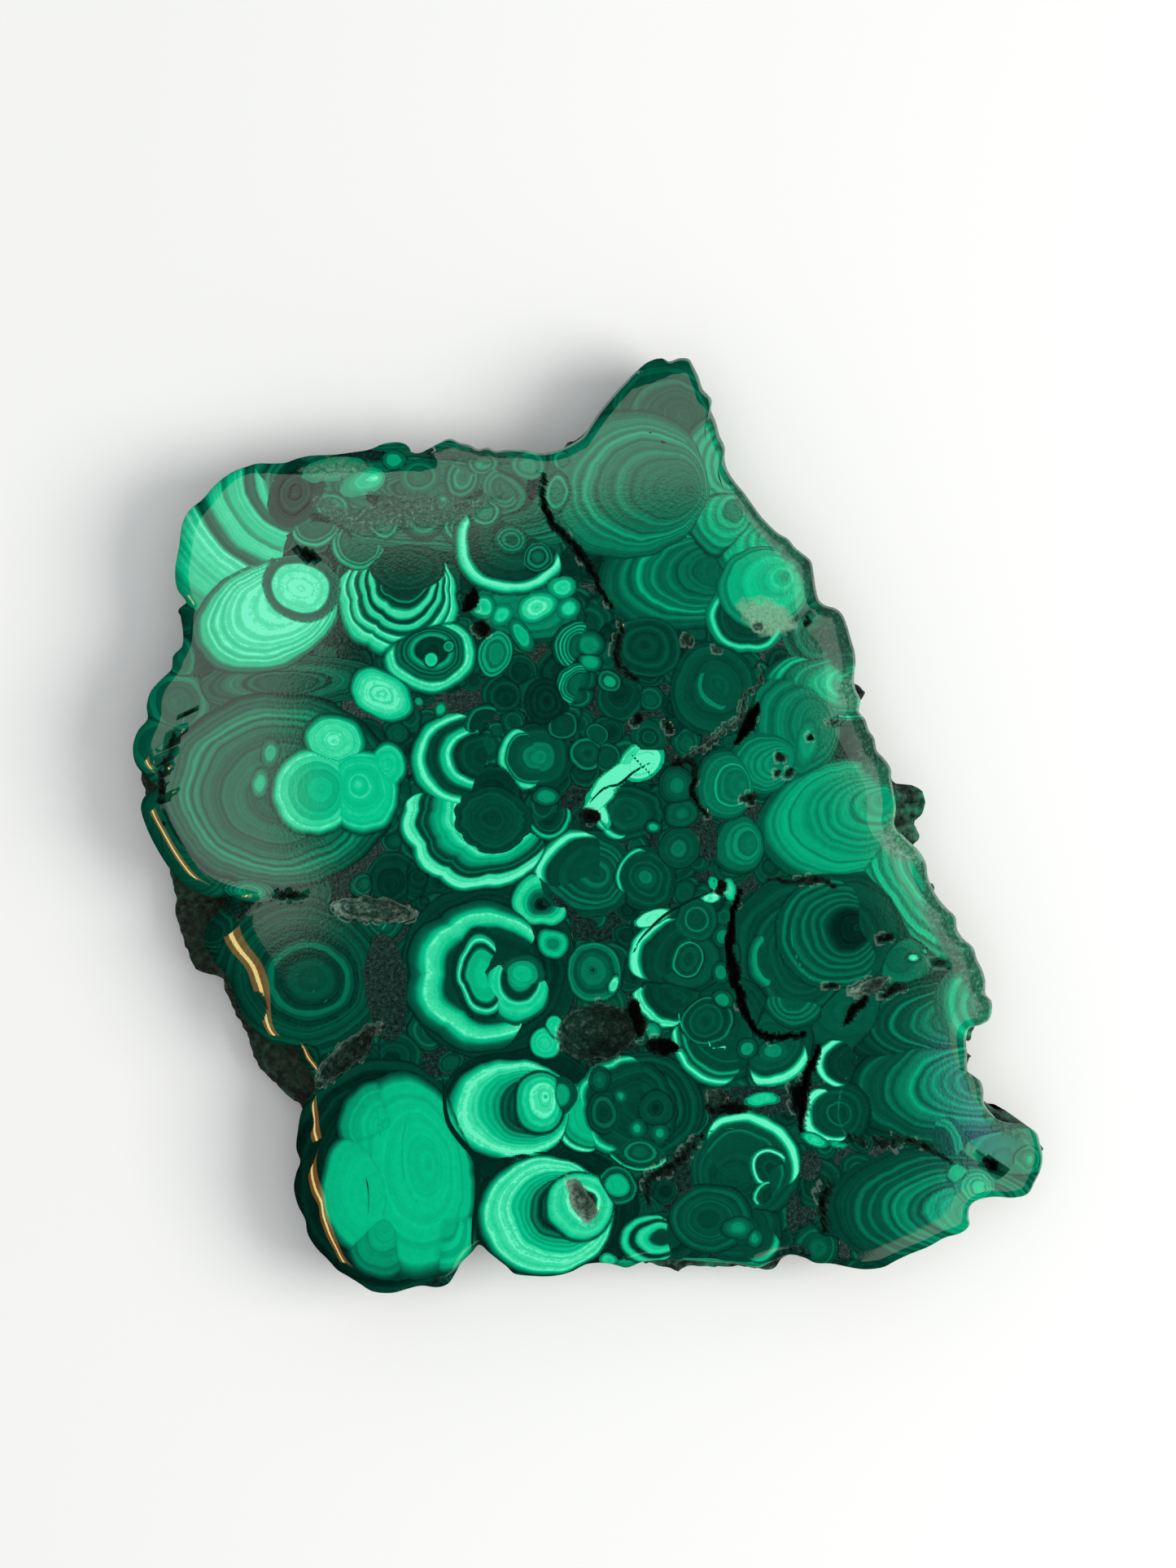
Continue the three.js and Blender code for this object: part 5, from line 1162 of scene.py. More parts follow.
def border_field(own, other, below, age_own, age_other):
    """Distance to the border between two growths, negative on the side of the first."""
    layers = np.array([layer for layer, _ in ALL_GROWTHS])
    own_layer = np.where(own >= 0, layers[np.maximum(own, 0)], -1)
    other_layer = np.where(other >= 0, layers[np.maximum(other, 0)], -1)
    beside = np.where(other_layer > own_layer, -age_other, (age_own - age_other) / 2)
    return np.clip(np.where(below, age_own, beside), -FAR, FAR)


def gauge_numbers(x, y, own, other, below):
    """Where each corner lies in its growth and at which border, and the spacing and strength of its rings."""
    count = len(x)
    t_own = np.zeros(count)
    age_own = np.zeros(count)
    age_other = np.zeros(count)
    tone_other = np.full(count, MATRIX_TONE)
    grain = np.zeros((count, 2))
    seams = np.ones(count)
    plain = np.zeros(count, bool)
    for k, (_, g) in enumerate(ALL_GROWTHS):
        mine = own == k
        if mine.any():
            t_own[mine], age_own[mine], cut = gauge(g, x[mine], y[mine])
            grain[mine, 0] = t_own[mine] * g["size"] / g["grain"][0] + RING_OFFSET * k
            grain[mine, 1] = g["grain"][1]
            seams[mine] = g["seam"]
            plain[mine] |= cut
        rival = other == k
        if rival.any():
            t, age_other[rival], cut = gauge(g, x[rival], y[rival])
            tone_other[rival] = np.interp(t, *g["profile"])
            plain[rival] |= cut
    field = border_field(own, other, below, age_own, age_other)
    return np.stack([t_own, field, tone_other, np.where(plain, 1, seams)], 1), grain


def tone_steps(own, middle_t):
    """The places and tones of those steps of each corner's growth that are nearest to its face's middle."""
    places = np.tile(0.001 * np.arange(KNOTS), (len(own), 1))
    tones = np.full((len(own), KNOTS), MATRIX_TONE)
    for k, (_, g) in enumerate(ALL_GROWTHS):
        mine = own == k
        if not mine.any():
            continue
        knots, values = g["profile"]
        spot = np.searchsorted(knots, middle_t[mine])
        for slot in range(KNOTS):
            pick = np.clip(spot - KNOTS // 2 + slot, 0, len(knots) - 1)
            places[mine, slot] = knots[pick] + KNOT_GAP * slot
            tones[mine, slot] = values[pick]
    return places, tones


def growth_numbers(points, corners, starts, sizes):
    """The numbers that tell the materials, for each corner, where in which growth it lies."""
    leaning = points[:, :2] + np.array(COLUMN_LEAN) * (THICKNESS - points[:, 2:])
    wandered = np.stack(pushed(leaning[:, 0], leaning[:, 1], WARPS, WARP_SEEDS), 1)[corners]
    middle = np.add.reduceat(wandered, starts) / sizes[:, None]
    first, second, under = winners(middle[:, 0], middle[:, 1])
    middle_t = np.zeros(len(sizes))
    for k, (_, g) in enumerate(ALL_GROWTHS):
        mine = first == k
        middle_t[mine] = gauge(g, middle[mine, 0], middle[mine, 1])[0]
    own, other, below, t = (np.repeat(values, sizes) for values in (first, second, under, middle_t))
    gauges, grain = gauge_numbers(wandered[:, 0], wandered[:, 1], own, other, below)
    places, tones = tone_steps(own, t)
    rinds = np.stack(strip_field(RINDS, points[:, 0], points[:, 1]), 1)[corners]
    half = KNOTS // 2
    return {
        "gauge": gauges, "grain": np.concatenate([grain, rinds], 1),
        "inner places": places[:, :half], "inner tones": tones[:, :half],
        "outer places": places[:, half:], "outer tones": tones[:, half:],
    }


# The mesh: a grid for the face, rows for the side, a coarser grid for the back

def way_round(across, up):
    """The share of the way round a square, from its lower right corner, for places on its rim."""
    on_right = (across >= 1 - TINY) & (up < 1 - TINY)
    on_top = (up >= 1 - TINY) & (across > -1 + TINY)
    on_left = (across <= -1 + TINY) & (up > -1 + TINY)
    left_or_bottom = np.where(on_left, 2 + (1 - up) / 2, 3 + (across + 1) / 2)
    sides = np.where(on_right, (up + 1) / 2, np.where(on_top, 1 + (1 - across) / 2, left_or_bottom))
    return (sides % 4) / 4


def grid_place(edge, cells):
    """A square grid of places that is even in the middle and follows the edge at its rim, and its quads."""
    i, j = np.meshgrid(np.arange(cells + 1), np.arange(cells + 1), indexing="ij")
    u = 2 * i.ravel() / cells - 1
    v = 2 * j.ravel() / cells - 1
    size = np.maximum(np.abs(u), np.abs(v))
    safe = np.maximum(size, TINY)
    at = way_round(u / safe, v / safe) * len(edge)
    steps = np.arange(len(edge) + 1)
    plain = averaged(edge, len(edge) // OUTLINE_BLUR)
    place = np.stack([u, v], 1) * GRID_SQUARE * (1 - size**2)[:, None]
    for line, share in ((plain, size**3), (edge - plain, size**RIM_FADE)):
        loop = np.concatenate([line, line[:1]])
        place += share[:, None] * np.stack([np.interp(at, steps, loop[:, k]) for k in (0, 1)], 1)
    place = place.reshape(cells + 1, cells + 1, 2)
    for _ in range(GRID_ROUNDS):
        place[1:-1, 1:-1] = 0.25 * (place[:-2, 1:-1] + place[2:, 1:-1] + place[1:-1, :-2] + place[1:-1, 2:])
    place = place.reshape(-1, 2)
    number = np.arange((cells + 1) ** 2).reshape(cells + 1, cells + 1)
    rim = np.concatenate([number[-1, :-1], number[:0:-1, -1], number[0, :0:-1], number[:-1, 0]])
    quads = np.stack([number[:-1, :-1], number[1:, :-1], number[1:, 1:], number[:-1, 1:]], -1).reshape(-1, 4)
    return place[:, 0], place[:, 1], rim, quads


def stitched(ring, inner):
    """Triangles between a ring of points and one inside it with half as many."""
    outer = ring[0::2]
    between = ring[1::2]
    outer_next = np.roll(outer, -1)
    inner_next = np.roll(inner, -1)
    return np.concatenate([
        np.stack([outer, inner, between], 1),
        np.stack([inner, inner_next, between], 1),
        np.stack([between, inner_next, outer_next], 1),
    ])


def slab_mesh(cells):
    """The slab as points in millimetres, quads, triangles, the faces' kinds of surface and a flat layout."""
    edge, perimeter = even_edge(4 * cells)
    rows, angle = edge_section(edge, perimeter)
    direction = np.stack([np.cos(angle), np.sin(angle)], 1)
    rows = roughened(rows, direction)
    x, y, rim, quads = grid_place(rows[0][0][:, None] * direction, cells)
    points = [np.stack([x, y, THICKNESS - opening(x, y)[1]], 1)]
    flat = [np.stack([x, y], 1)]
    faces = [quads]
    kinds = [np.full(len(quads), POLISHED)]
    above = rim
    total = len(x)
    spread = rows[0][0].copy()
    for k, (reach, height) in enumerate(rows[1:], 1):
        ring = reach[:, None] * direction
        depth = opening(ring[:, 0], ring[:, 1])[1] * max(0, 1 - k / (ROLL_ROWS + 1))
        points.append(np.column_stack([ring, height - depth]))
        last_reach, last_height = rows[k - 1]
        spread += np.hypot(reach - last_reach, height - last_height)
        flat.append(spread[:, None] * direction)
        here = total + np.arange(len(rim))
        total += len(rim)
        faces.append(np.stack([above, here, np.roll(here, -1), np.roll(above, -1)], 1))
        kinds.append(np.full(len(rim), POLISHED if k <= ROLL_ROWS else BROKEN))
        above = here
    inner = (rows[-1][0] - BACK_STRIP)[:, None] * direction
    x, y, rim, quads = grid_place(inner[::2], cells // 2)
    points.append(np.stack([x, y, 0 * x], 1))
    flat.append(np.stack([x, y], 1))
    faces.append(quads[:, ::-1] + total)
    triangles = stitched(above, rim + total)
    kinds.append(np.full(len(quads) + len(triangles), SAWN))
    points = np.concatenate(points)
    points[:, 2] = chipped(points[:, 0], points[:, 1], points[:, 2])
    return points, np.concatenate(faces), triangles, np.concatenate(kinds), np.concatenate(flat)


def bake_layout(flat, corners, kind_of_corner, first_wall, ring):
    """A flat layout of the surface: face and roll at full size, the wall in two strips, the back small."""
    middle = 0.5 * (flat.min(0) + flat.max(0))
    on_back = (kind_of_corner == SAWN)[:, None]
    centre, reach = (np.where(on_back, back, face) for back, face in zip(BACK_PATCH, FACE_PATCH))
    layout = centre + reach * (flat[corners] - middle) / LAYOUT_REACH
    wall = kind_of_corner == BROKEN
    row, along = np.divmod(corners[wall] - first_wall, ring)
    within = np.arange(len(row)) % 4
    start_along, start_row = (values.reshape(-1, 4)[:, :1].repeat(4, 1).ravel() for values in (along, row))
    along = start_along + (within >= 2)
    row = start_row + ((within == 1) | (within == 2))
    strip = (start_along >= ring // 2).astype(int)
    share = (along - strip * (ring // 2)) / (ring // 2)
    left, length, bottom, step, tall = WALL_PATCH
    layout[wall, 0] = left + length * share
    layout[wall, 1] = bottom + step * strip + tall * row / (row.max() + 1)
    return layout


def add_floats(mesh, name, values):
    """Writes four numbers to each corner of a mesh."""
    made = mesh.attributes.new(name, "FLOAT_COLOR", "CORNER")
    made.data.foreach_set("color", np.ascontiguousarray(values, np.float32).ravel())


def strip_field(strips, x, y):
    """Distance to the edge of the nearest strip, negative inside it, and the number that the strip has."""
    field = np.full(x.shape, FAR)
    number = np.zeros(x.shape)
    for width, value, points in strips.values():
        away, share = along_path(x, y, smooth_path(points, False, PATH_STEPS))
        here = away - 0.5 * width * np.sin(math.pi * (STRIP_TIP + (1 - 2 * STRIP_TIP) * share))
        number = np.where(here < field, value, number)
        field = np.minimum(field, here)
    return field, number


def in_cad_box(points):
    """The points in metres in the CAD node's box, and how far the slab was shifted, in millimetres."""
    low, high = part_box(NODE)
    middle_of_box = np.array((low + high) / 2)[:2] / MM
    shift = 0.5 * (points[:, :2].min(0) + points[:, :2].max(0)) - middle_of_box
    placed = points.copy()
    placed[:, :2] -= shift
    return np.clip(placed * MM, np.array(low), np.array(high)), shift


def new_mesh(name, points, corners, starts, kinds):
    """A smooth mesh from its points, the points at its faces' corners, and each face's start and material."""
    mesh = bpy.data.meshes.new(name)
    mesh.vertices.add(len(points))
    mesh.vertices.foreach_set("co", points.ravel())
    mesh.loops.add(len(corners))
    mesh.loops.foreach_set("vertex_index", corners)
    mesh.polygons.add(len(starts))
    mesh.polygons.foreach_set("loop_start", starts)
    mesh.polygons.foreach_set("material_index", kinds)
    mesh.polygons.foreach_set("use_smooth", np.ones(len(starts), bool))
    mesh.update(calc_edges=True)
    return mesh


def make_slab(name, cells, materials):
    """The whole slab as one closed mesh, with the growths written to its corners."""
    points, quads, triangles, kinds, flat = slab_mesh(cells)
    corners = np.concatenate([quads.ravel(), triangles.ravel()])
    sizes = np.concatenate([np.full(len(quads), 4), np.full(len(triangles), 3)])
    starts = np.concatenate([[0], np.cumsum(sizes)[:-1]])
    rim, _, floor = opening(points[:, 0], points[:, 1])
    vein, vein_tone = strip_field(VEINS, points[:, 0], points[:, 1])
    open_faces = np.logical_or.reduceat(rim[corners] < 0, starts)
    kinds = np.where(open_faces & (kinds == POLISHED), CRUMBLY, kinds)
    placed, shift = in_cad_box(points)
    mesh = new_mesh(name, placed, corners, starts, kinds)
    for key, values in growth_numbers(points, corners, starts, sizes).items():
        add_floats(mesh, key, values)
    # The last number is how pale an opening's floor is; a dark floor is painted shade.
    add_floats(mesh, "skin", np.stack([rim, vein, vein_tone / PALEST, floor], 1)[corners])
    ring = 4 * cells
    first_wall = (cells + 1) ** 2 + (ROLL_ROWS - 1) * ring
    layout = bake_layout(flat, corners, np.repeat(kinds, sizes), first_wall, ring)
    mesh.uv_layers.new(name="OFBake").data.foreach_set("uv", layout.ravel())
    mesh.set_sharp_from_angle(angle=math.radians(SHARP_ANGLE))
    for material in materials:
        mesh.materials.append(material)
    piece = bpy.data.objects.new(name, mesh)
    bpy.context.scene.collection.objects.link(piece)
    return piece, shift


# Materials

def linear(hex_colour, alpha=True):
    """An sRGB colour as the linear numbers that the nodes take."""
    parts = [int(hex_colour[k:k + 2], 16) / 255 for k in (1, 3, 5)]
    values = [c / 12.92 if c <= 0.04045 else ((c + 0.055) / 1.055) ** 2.4 for c in parts]
    return (*values, 1.0) if alpha else tuple(values)


def plug(tree, node, sockets):
    """Gives each named socket of a node its value or its link."""
    for key, value in sockets.items():
        if isinstance(value, bpy.types.NodeSocket):
            tree.links.new(value, node.inputs[key])
        else:
            node.inputs[key].default_value = value


def put(tree, kind, sockets, **settings):
    """Adds a node, with its settings, and a value or a link for each socket that is named."""
    made = tree.nodes.new("ShaderNode" + kind)
    for name, value in settings.items():
        setattr(made, name, value)
    plug(tree, made, sockets)
    return made


def ramp(tree, factor, stops):
    """A colour ramp through (place, sRGB colour) stops, from dark to pale."""
    made = put(tree, "ValToRGB", {"Fac": factor})
    elements = made.color_ramp.elements
    for place, _ in stops[1:-1]:
        elements.new(place)
    for element, (place, colour) in zip(elements, stops):
        element.position = place
        element.color = linear(colour)
    return made.outputs["Color"]


def four_numbers(tree, name):
    """The numbers that the mesh carries under a name."""
    source = put(tree, "Attribute", {}, attribute_name=name)
    parts = put(tree, "SeparateColor", {0: source.outputs["Color"]})
    return [*parts.outputs, source.outputs["Alpha"]]


def millimetres(tree):
    """The place in the stone in millimetres."""
    where = put(tree, "TexCoord", {})
    scaled = put(tree, "VectorMath", {0: where.outputs["Object"], "Scale": 1 / MM}, operation="SCALE")
    return scaled.outputs[0]


def noise(tree, place, spacing, detail=2.0, roughness=0.55):
    """Noise from 0 to 1 with lumps of the given size in millimetres."""
    sockets = {"Vector": place, "Scale": 1 / spacing, "Detail": detail, "Roughness": roughness}
    return put(tree, "TexNoise", sockets).outputs[0]


def fade(tree, value, start, end, from_value=0.0, to_value=1.0):
    """A value that changes evenly between two places and stays the same beyond them."""
    sockets = {"Value": value, "From Min": start, "From Max": end, "To Min": from_value, "To Max": to_value}
    return put(tree, "MapRange", sockets).outputs[0]


def blend(tree, share, first, second):
    """A mix of two numbers."""
    return put(tree, "Mix", {0: share, 2: first, 3: second}).outputs[0]


def blend_colour(tree, share, first, second):
    """A mix of two colours."""
    return put(tree, "Mix", {0: share, 6: first, 7: second}, data_type="RGBA").outputs[2]


def calc(tree, operation, first, second=0.0):
    """A calculation with one or two numbers."""
    return put(tree, "Math", {0: first, 1: second}, operation=operation).outputs[0]


def plus(tree, first, second, share=None):
    """A number with another one, or a share of it, added."""
    return calc(tree, "ADD", first, second if share is None else calc(tree, "MULTIPLY", second, share))


def swing(tree, value):
    """A number from 0 to 1 turned into one that swings round 0."""
    return calc(tree, "SUBTRACT", value, 0.5)


def growth_tone(tree, distance, places, tones, grain):
    """The tone at a distance from the eye: a step between each tone and the next, and fine rings."""
    phase, strength = grain
    tone = tones[0]
    for k in range(len(tones) - 1):
        change = calc(tree, "SUBTRACT", tones[k + 1], tones[k])
        tone = plus(tree, tone, fade(tree, distance, places[k], places[k + 1], 0.0, change))
    rings = put(tree, "TexNoise", {"W": phase, "Scale": 1.0, "Detail": 2.0}, noise_dimensions="1D").outputs[0]
    ripple = calc(tree, "MULTIPLY", swing(tree, rings), calc(tree, "MULTIPLY", strength, RING_SWING))
    return plus(tree, tone, ripple, fade(tree, tone, BARE_TONE, 0.0))


def bordered_tone(tree, grain):
    """The tone of the growths with the dark lines where they meet, and how bare the matrix shows there."""
    distance, border, other_tone, seam_tone = four_numbers(tree, "gauge")
    places = four_numbers(tree, "inner places") + four_numbers(tree, "outer places")
    tones = four_numbers(tree, "inner tones") + four_numbers(tree, "outer tones")
    tone = growth_tone(tree, distance, places, tones, grain)
    past = fade(tree, border, -BORDER_SOFTNESS, BORDER_SOFTNESS)
    tone = blend(tree, past, tone, other_tone)
    seam = fade(tree, calc(tree, "ABSOLUTE", border), 0.0, SEAM_WIDTH, seam_tone, 1.0)
    return calc(tree, "MULTIPLY", tone, seam), fade(tree, tone, BARE_TONE, 0.0, 1.0, 0.0)


def weathered_skin(tree, rind, paleness, mottle, specks):
    """The colour of the weathered skin, and how much of the bands it hides."""
    worn = fade(tree, plus(tree, rind, mottle, RIND_RAGGED), *RIND_EDGE, RIND_COVER, 0.0)
    tone = plus(tree, paleness, fade(tree, specks, *SPECK_RANGE, -RIND_SPECKS, RIND_SPECKS))
    return ramp(tree, tone, RIND_TONES), worn


def hollow_shade_and_grit(tree, rim, floor, mottle, specks):
    """The colour of an opening's floor, painted shade where it is dark, with the pale grit at its rim, and
    where the floor shows.
    """
    ragged = plus(tree, rim, mottle, RIM_RAGGED)
    paleness = plus(tree, floor, fade(tree, ragged, *RIM_GRIT, 0.0))
    paleness = plus(tree, paleness, fade(tree, specks, *SPECK_RANGE, -FLOOR_SPECKS, FLOOR_SPECKS))
    paleness = plus(tree, paleness, mottle, FLOOR_MOTTLE)
    return ramp(tree, paleness, CREVICE_SHADE_AND_GRIT_TONES), fade(tree, ragged, 0.0, RIM_SOFTNESS, 1.0, 0.0)


def stone_group():
    """The colour of the stone at any place, and how dull its polish is there."""
    tree = bpy.data.node_groups.new("banded stone", "ShaderNodeTree")
    for name, kind in (("Colour", "Color"), ("Dull", "Float")):
        tree.interface.new_socket(name, in_out="OUTPUT", socket_type="NodeSocket" + kind)
    *grain, rind, rind_paleness = four_numbers(tree, "grain")
    rim, vein, vein_tone, floor = four_numbers(tree, "skin")
    place = millimetres(tree)
    mottle = swing(tree, noise(tree, place, 0.9, 3.0))
    fibres = swing(tree, noise(tree, place, 0.22, 1.0))
    specks = calc(tree, "MULTIPLY", noise(tree, place, 0.5), 0.6)
    specks = plus(tree, specks, noise(tree, place, 0.18, 1.0), 0.4)

    tone, bare = bordered_tone(tree, grain)
    tone = blend(tree, fade(tree, vein, *VEIN_EDGE, 1.0, 0.0), tone, vein_tone)
    tone = plus(tree, plus(tree, tone, mottle, BAND_MOTTLE), fibres, BAND_FIBRES)
    colour = blend_colour(tree, bare, ramp(tree, tone, TONES), ramp(tree, specks, MATRIX_TONES))
    skin, worn = weathered_skin(tree, rind, rind_paleness, mottle, specks)
    colour = blend_colour(tree, worn, colour, skin)
    # Openings: their grit, and their painted shade where the floor is dark.
    crumbs, opened = hollow_shade_and_grit(tree, rim, floor, mottle, specks)
    colour = blend_colour(tree, opened, colour, crumbs)
    dull = calc(tree, "MAXIMUM", bare, worn)
    plug(tree, tree.nodes.new("NodeGroupOutput"), {"Colour": colour, "Dull": dull})
    return tree


def new_material(name):
    """An empty material."""
    material = bpy.data.materials.new(name)
    material.use_nodes = True
    material.node_tree.nodes.clear()
    return material


def surfaced(material, sockets):
    """The material with its surface shader, and a value or a link for each socket that is named."""
    tree = material.node_tree
    shader = put(tree, "BsdfPrincipled", {"IOR": STONE_IOR, **sockets})
    put(tree, "OutputMaterial", {"Surface": shader.outputs[0]})
    return material


def stone_material(name, group):
    """A material with nothing but the banded stone: the material, its tree, the stone and the place in it."""
    material = new_material(name)
    tree = material.node_tree
    return material, tree, put(tree, "Group", {}, node_tree=group).outputs, millimetres(tree)


def relief(tree, height, depth, strength=1.0):
    """A surface with small heights and dents, which are as deep in millimetres as depth says."""
    return put(tree, "Bump", {"Height": height, "Strength": strength, "Distance": depth * MM}).outputs[0]


def polished_malachite(group):
    """Malachite lapped and buffed to a mirror: the bands are clean and dark, with a glassy reflection.

    The matrix and the weathered skin at the right take a poorer polish, so their reflection is blurred.
    """
    material, tree, stone, place = stone_material("polished malachite", group)
    depth = blend(tree, stone["Dull"], POLISH_WAVES, DULL_WAVES)
    waves = calc(tree, "MULTIPLY", noise(tree, place, 0.35, 3.0), depth)
    return surfaced(material, {
        "Base Color": stone["Colour"],
        "Roughness": blend(tree, stone["Dull"], POLISH_ROUGHNESS, DULL_ROUGHNESS),
        "Normal": relief(tree, waves, 0.5),
    })


def crumbly_malachite(group):
    """The floor of a hollow that the lap never reached: dull grit, and black that is painted shade of the
    deep opening.
    """
    material, tree, stone, place = stone_material("crumbly hollow floor", group)
    grit = noise(tree, place, 0.5, 4.0, 0.65)
    return surfaced(material, {
        "Base Color": stone["Colour"], "Roughness": 0.85, "Specular IOR Level": 0.1,
        "Normal": relief(tree, grit, 0.35),
    })


def broken_malachite(group):
    """Stone as it came away from the wall of its cavity: never cut, so it is matt, crumbly and dusty."""
    material, tree, stone, place = stone_material("broken malachite and matrix", group)
    crumbs = noise(tree, place, 0.8, 4.0, 0.65)
    matrix = ramp(tree, crumbs, BROKEN_TONES)
    patches = fade(tree, noise(tree, place, 3.2), 0.42, 0.58)
    stained = blend_colour(tree, MATRIX_STAIN, stone["Colour"], matrix)
    return surfaced(material, {
        "Base Color": blend_colour(tree, patches, matrix, stained),
        "Roughness": 0.82, "Specular IOR Level": 0.2,
        "Normal": relief(tree, plus(tree, noise(tree, place, 1.1, 4.0, 0.6), crumbs, 0.5), 0.7),
    })


def sawn_malachite(group):
    """The back as the diamond saw left it: the same bands, pale and matt, with shallow blade arcs."""
    material, tree, stone, place = stone_material("sawn malachite", group)
    dust = ramp(tree, noise(tree, place, 0.6, 3.0), SAW_DUST_TONES)
    arcs = put(tree, "TexWave", {"Vector": place, "Scale": 0.32, "Distortion": 1.2, "Detail": 2.0},
               wave_type="RINGS", rings_direction="Z").outputs[1]
    return surfaced(material, {
        "Base Color": blend_colour(tree, SAW_DUST_COVER, stone["Colour"], dust), "Roughness": 0.6,
        "Normal": relief(tree, plus(tree, noise(tree, place, 0.3), arcs, 0.35), 0.12, 0.6),
    })


# In the order of the numbers POLISHED, BROKEN, SAWN and CRUMBLY.
MATERIALS = (polished_malachite, broken_malachite, sawn_malachite, crumbly_malachite)


# Stage: the paper, the cards and the room that the polish mirrors, the lights and the camera

def plain_material(name, colour, roughness):
    """A matt surface of one colour, without any shine."""
    sockets = {"Base Color": linear(colour), "Roughness": roughness, "Specular IOR Level": 0.0}
    return surfaced(new_material(name), sockets)


def glowing_material(name, colour, strength):
    """A surface that only gives light, and only to what mirrors it."""
    sockets = {
        "Base Color": linear("#000000"), "Emission Color": linear(colour), "Emission Strength": strength,
    }
    material = surfaced(new_material(name), sockets)
    material.cycles.emission_sampling = "NONE"
    return material


def square(reach, height):
    """The corners of a level square round the slab, in metres."""
    return [(x * reach, y * reach, height) for x, y in ((-1, -1), (1, -1), (1, 1), (-1, 1))]


def flat_object(name, corners, material):
    """One flat face of the stage."""
    mesh = bpy.data.meshes.new(name)
    mesh.from_pydata(corners, [], [range(len(corners))])
    mesh.materials.append(material)
    made = bpy.data.objects.new(name, mesh)
    bpy.context.scene.collection.objects.link(made)
    return made


def mirrored_object(name, corners, material):
    """One flat face of the stage that only the polish sees."""
    made = flat_object(name, corners, material)
    made.visible_camera = False
    made.visible_diffuse = False
    made.visible_shadow = False
    made.visible_transmission = False


def add_light(name, at, towards, size, watts, colour):
    """A soft rectangular light, turned to shine on a place."""
    data = bpy.data.lights.new(name, "AREA")
    data.shape = "RECTANGLE"
    data.size, data.size_y = size
    data.energy = watts
    data.color = linear(colour, alpha=False)
    made = bpy.data.objects.new(name, data)
    made.location = at
    made.rotation_euler = (Vector(towards) - Vector(at)).to_track_quat("-Z", "Y").to_euler()
    bpy.context.scene.collection.objects.link(made)
    return made


def frame_place(x, y, shift):
    """A place on the face in the frame's metres, from slab millimetres."""
    return (x - shift[0]) * MM, (y - shift[1]) * MM


def add_card(name, region, material, eye, shift, lower=0):
    """A card level with the eye, or a little lower, that fills what a region of the face mirrors to it."""
    places = [frame_place(x, y, shift) for x, y in region]
    corners = [(2 * x - eye.x, 2 * y - eye.y, eye.z - lower) for x, y in places]
    mirrored_object(name, corners, material)


def add_room(velvet, glow):
    """The dark room round the slab, with a pale part in its ceiling and a dark sheet on the floor."""
    low_ring = square(ROOM_REACH, 0)
    high_ring = square(ROOM_REACH, CEILING_HEIGHT)
    mirrored_object("ceiling", [(x, y, CEILING_HEIGHT - MM) for x, y in PALE_CEILING], glow)
    mirrored_object("dark ceiling", high_ring, velvet)
    mirrored_object("dark sheet", [(x, y, -SHEET_SINK) for x, y in DARK_SHEET], velvet)
    for k in range(4):
        n = (k + 1) % 4
        mirrored_object("dark wall", [low_ring[k], low_ring[n], high_ring[n], high_ring[k]], velvet)


def add_lights(settings):
    """Two wide lights that the polish doesn't show, and the warm strips that only the polish shows."""
    face = (0, 0, THICKNESS * MM)
    for name, at, size, colour, watts in ((*TOP_LIGHT, settings.top_power), (*KEY_LIGHT, settings.key_power)):
        add_light(name, at, face, (size, size), watts, colour).visible_glossy = False
    for name, width, share, colour in WARM_STRIPS:
        size = (STRIP_LENGTH, width)
        strip = add_light(name, STRIP_PLACE, STRIP_TARGET, size, share * settings.strip_power, colour)
        strip.visible_diffuse = False


def add_world(scene, strength):
    """Even light from all round."""
    world = bpy.data.worlds.new("room")
    world.use_nodes = True
    background = world.node_tree.nodes["Background"]
    background.inputs["Color"].default_value = linear("#fbfdff")
    background.inputs["Strength"].default_value = strength
    world.cycles.sampling_method = "NONE"
    scene.world = world


def add_camera(shift, height):
    """Looks straight down with the photograph's picture frame at the level of the polished face."""
    wide, tall = PHOTO_SIZE
    middle = ((wide / 2 - PHOTO_MIDDLE[0]) * MM_PER_PIXEL, (PHOTO_MIDDLE[1] - tall / 2) * MM_PER_PIXEL)
    data = bpy.data.cameras.new("photo camera")
    data.sensor_fit = "VERTICAL"
    data.sensor_height = 24
    data.lens = data.sensor_height * height / (tall * MM_PER_PIXEL * MM)
    data.clip_end = 10
    camera = bpy.data.objects.new("photo camera", data)
    camera.location = (*frame_place(*middle, shift), THICKNESS * MM + height)
    bpy.context.scene.collection.objects.link(camera)
    bpy.context.scene.camera = camera
    return camera


# Blender add-on: settings, operators and panel

class SlabSettings(bpy.types.PropertyGroup):
    """What can be changed about the slab."""

    cells: bpy.props.IntProperty(
        name="Face cells", description="Cells across the polished face", default=240, min=40, soft_max=245,
    )
    quick_cells: bpy.props.IntProperty(
        name="Quick face cells", description="Cells across the face while trying things", default=160, min=40,
    )


class StageSettings(bpy.types.PropertyGroup):
    """What can be changed about the stage."""

    camera_height: bpy.props.FloatProperty(
        name="Camera height", description="Camera height over the face", default=0.7, unit="LENGTH",
    )
    key_power: bpy.props.FloatProperty(
        name="Key power", description="Soft light at the right", default=5.6, unit="POWER",
    )
    top_power: bpy.props.FloatProperty(
        name="Top power", description="Wide light overhead", default=6.9, unit="POWER",
    )
    strip_power: bpy.props.FloatProperty(
        name="Strip power", description="Warm narrow light at the left", default=2.4, unit="POWER",
    )
    ceiling_light: bpy.props.FloatProperty(
        name="Ceiling light", description="How bright the ceiling is that the polish mirrors", default=0.8,
    )
    blue_light: bpy.props.FloatProperty(
        name="Blue light", description="How bright the blue edge is that the polish mirrors", default=2.6,
    )
    room_light: bpy.props.FloatProperty(name="Room light", description="Even light all round", default=0.5)


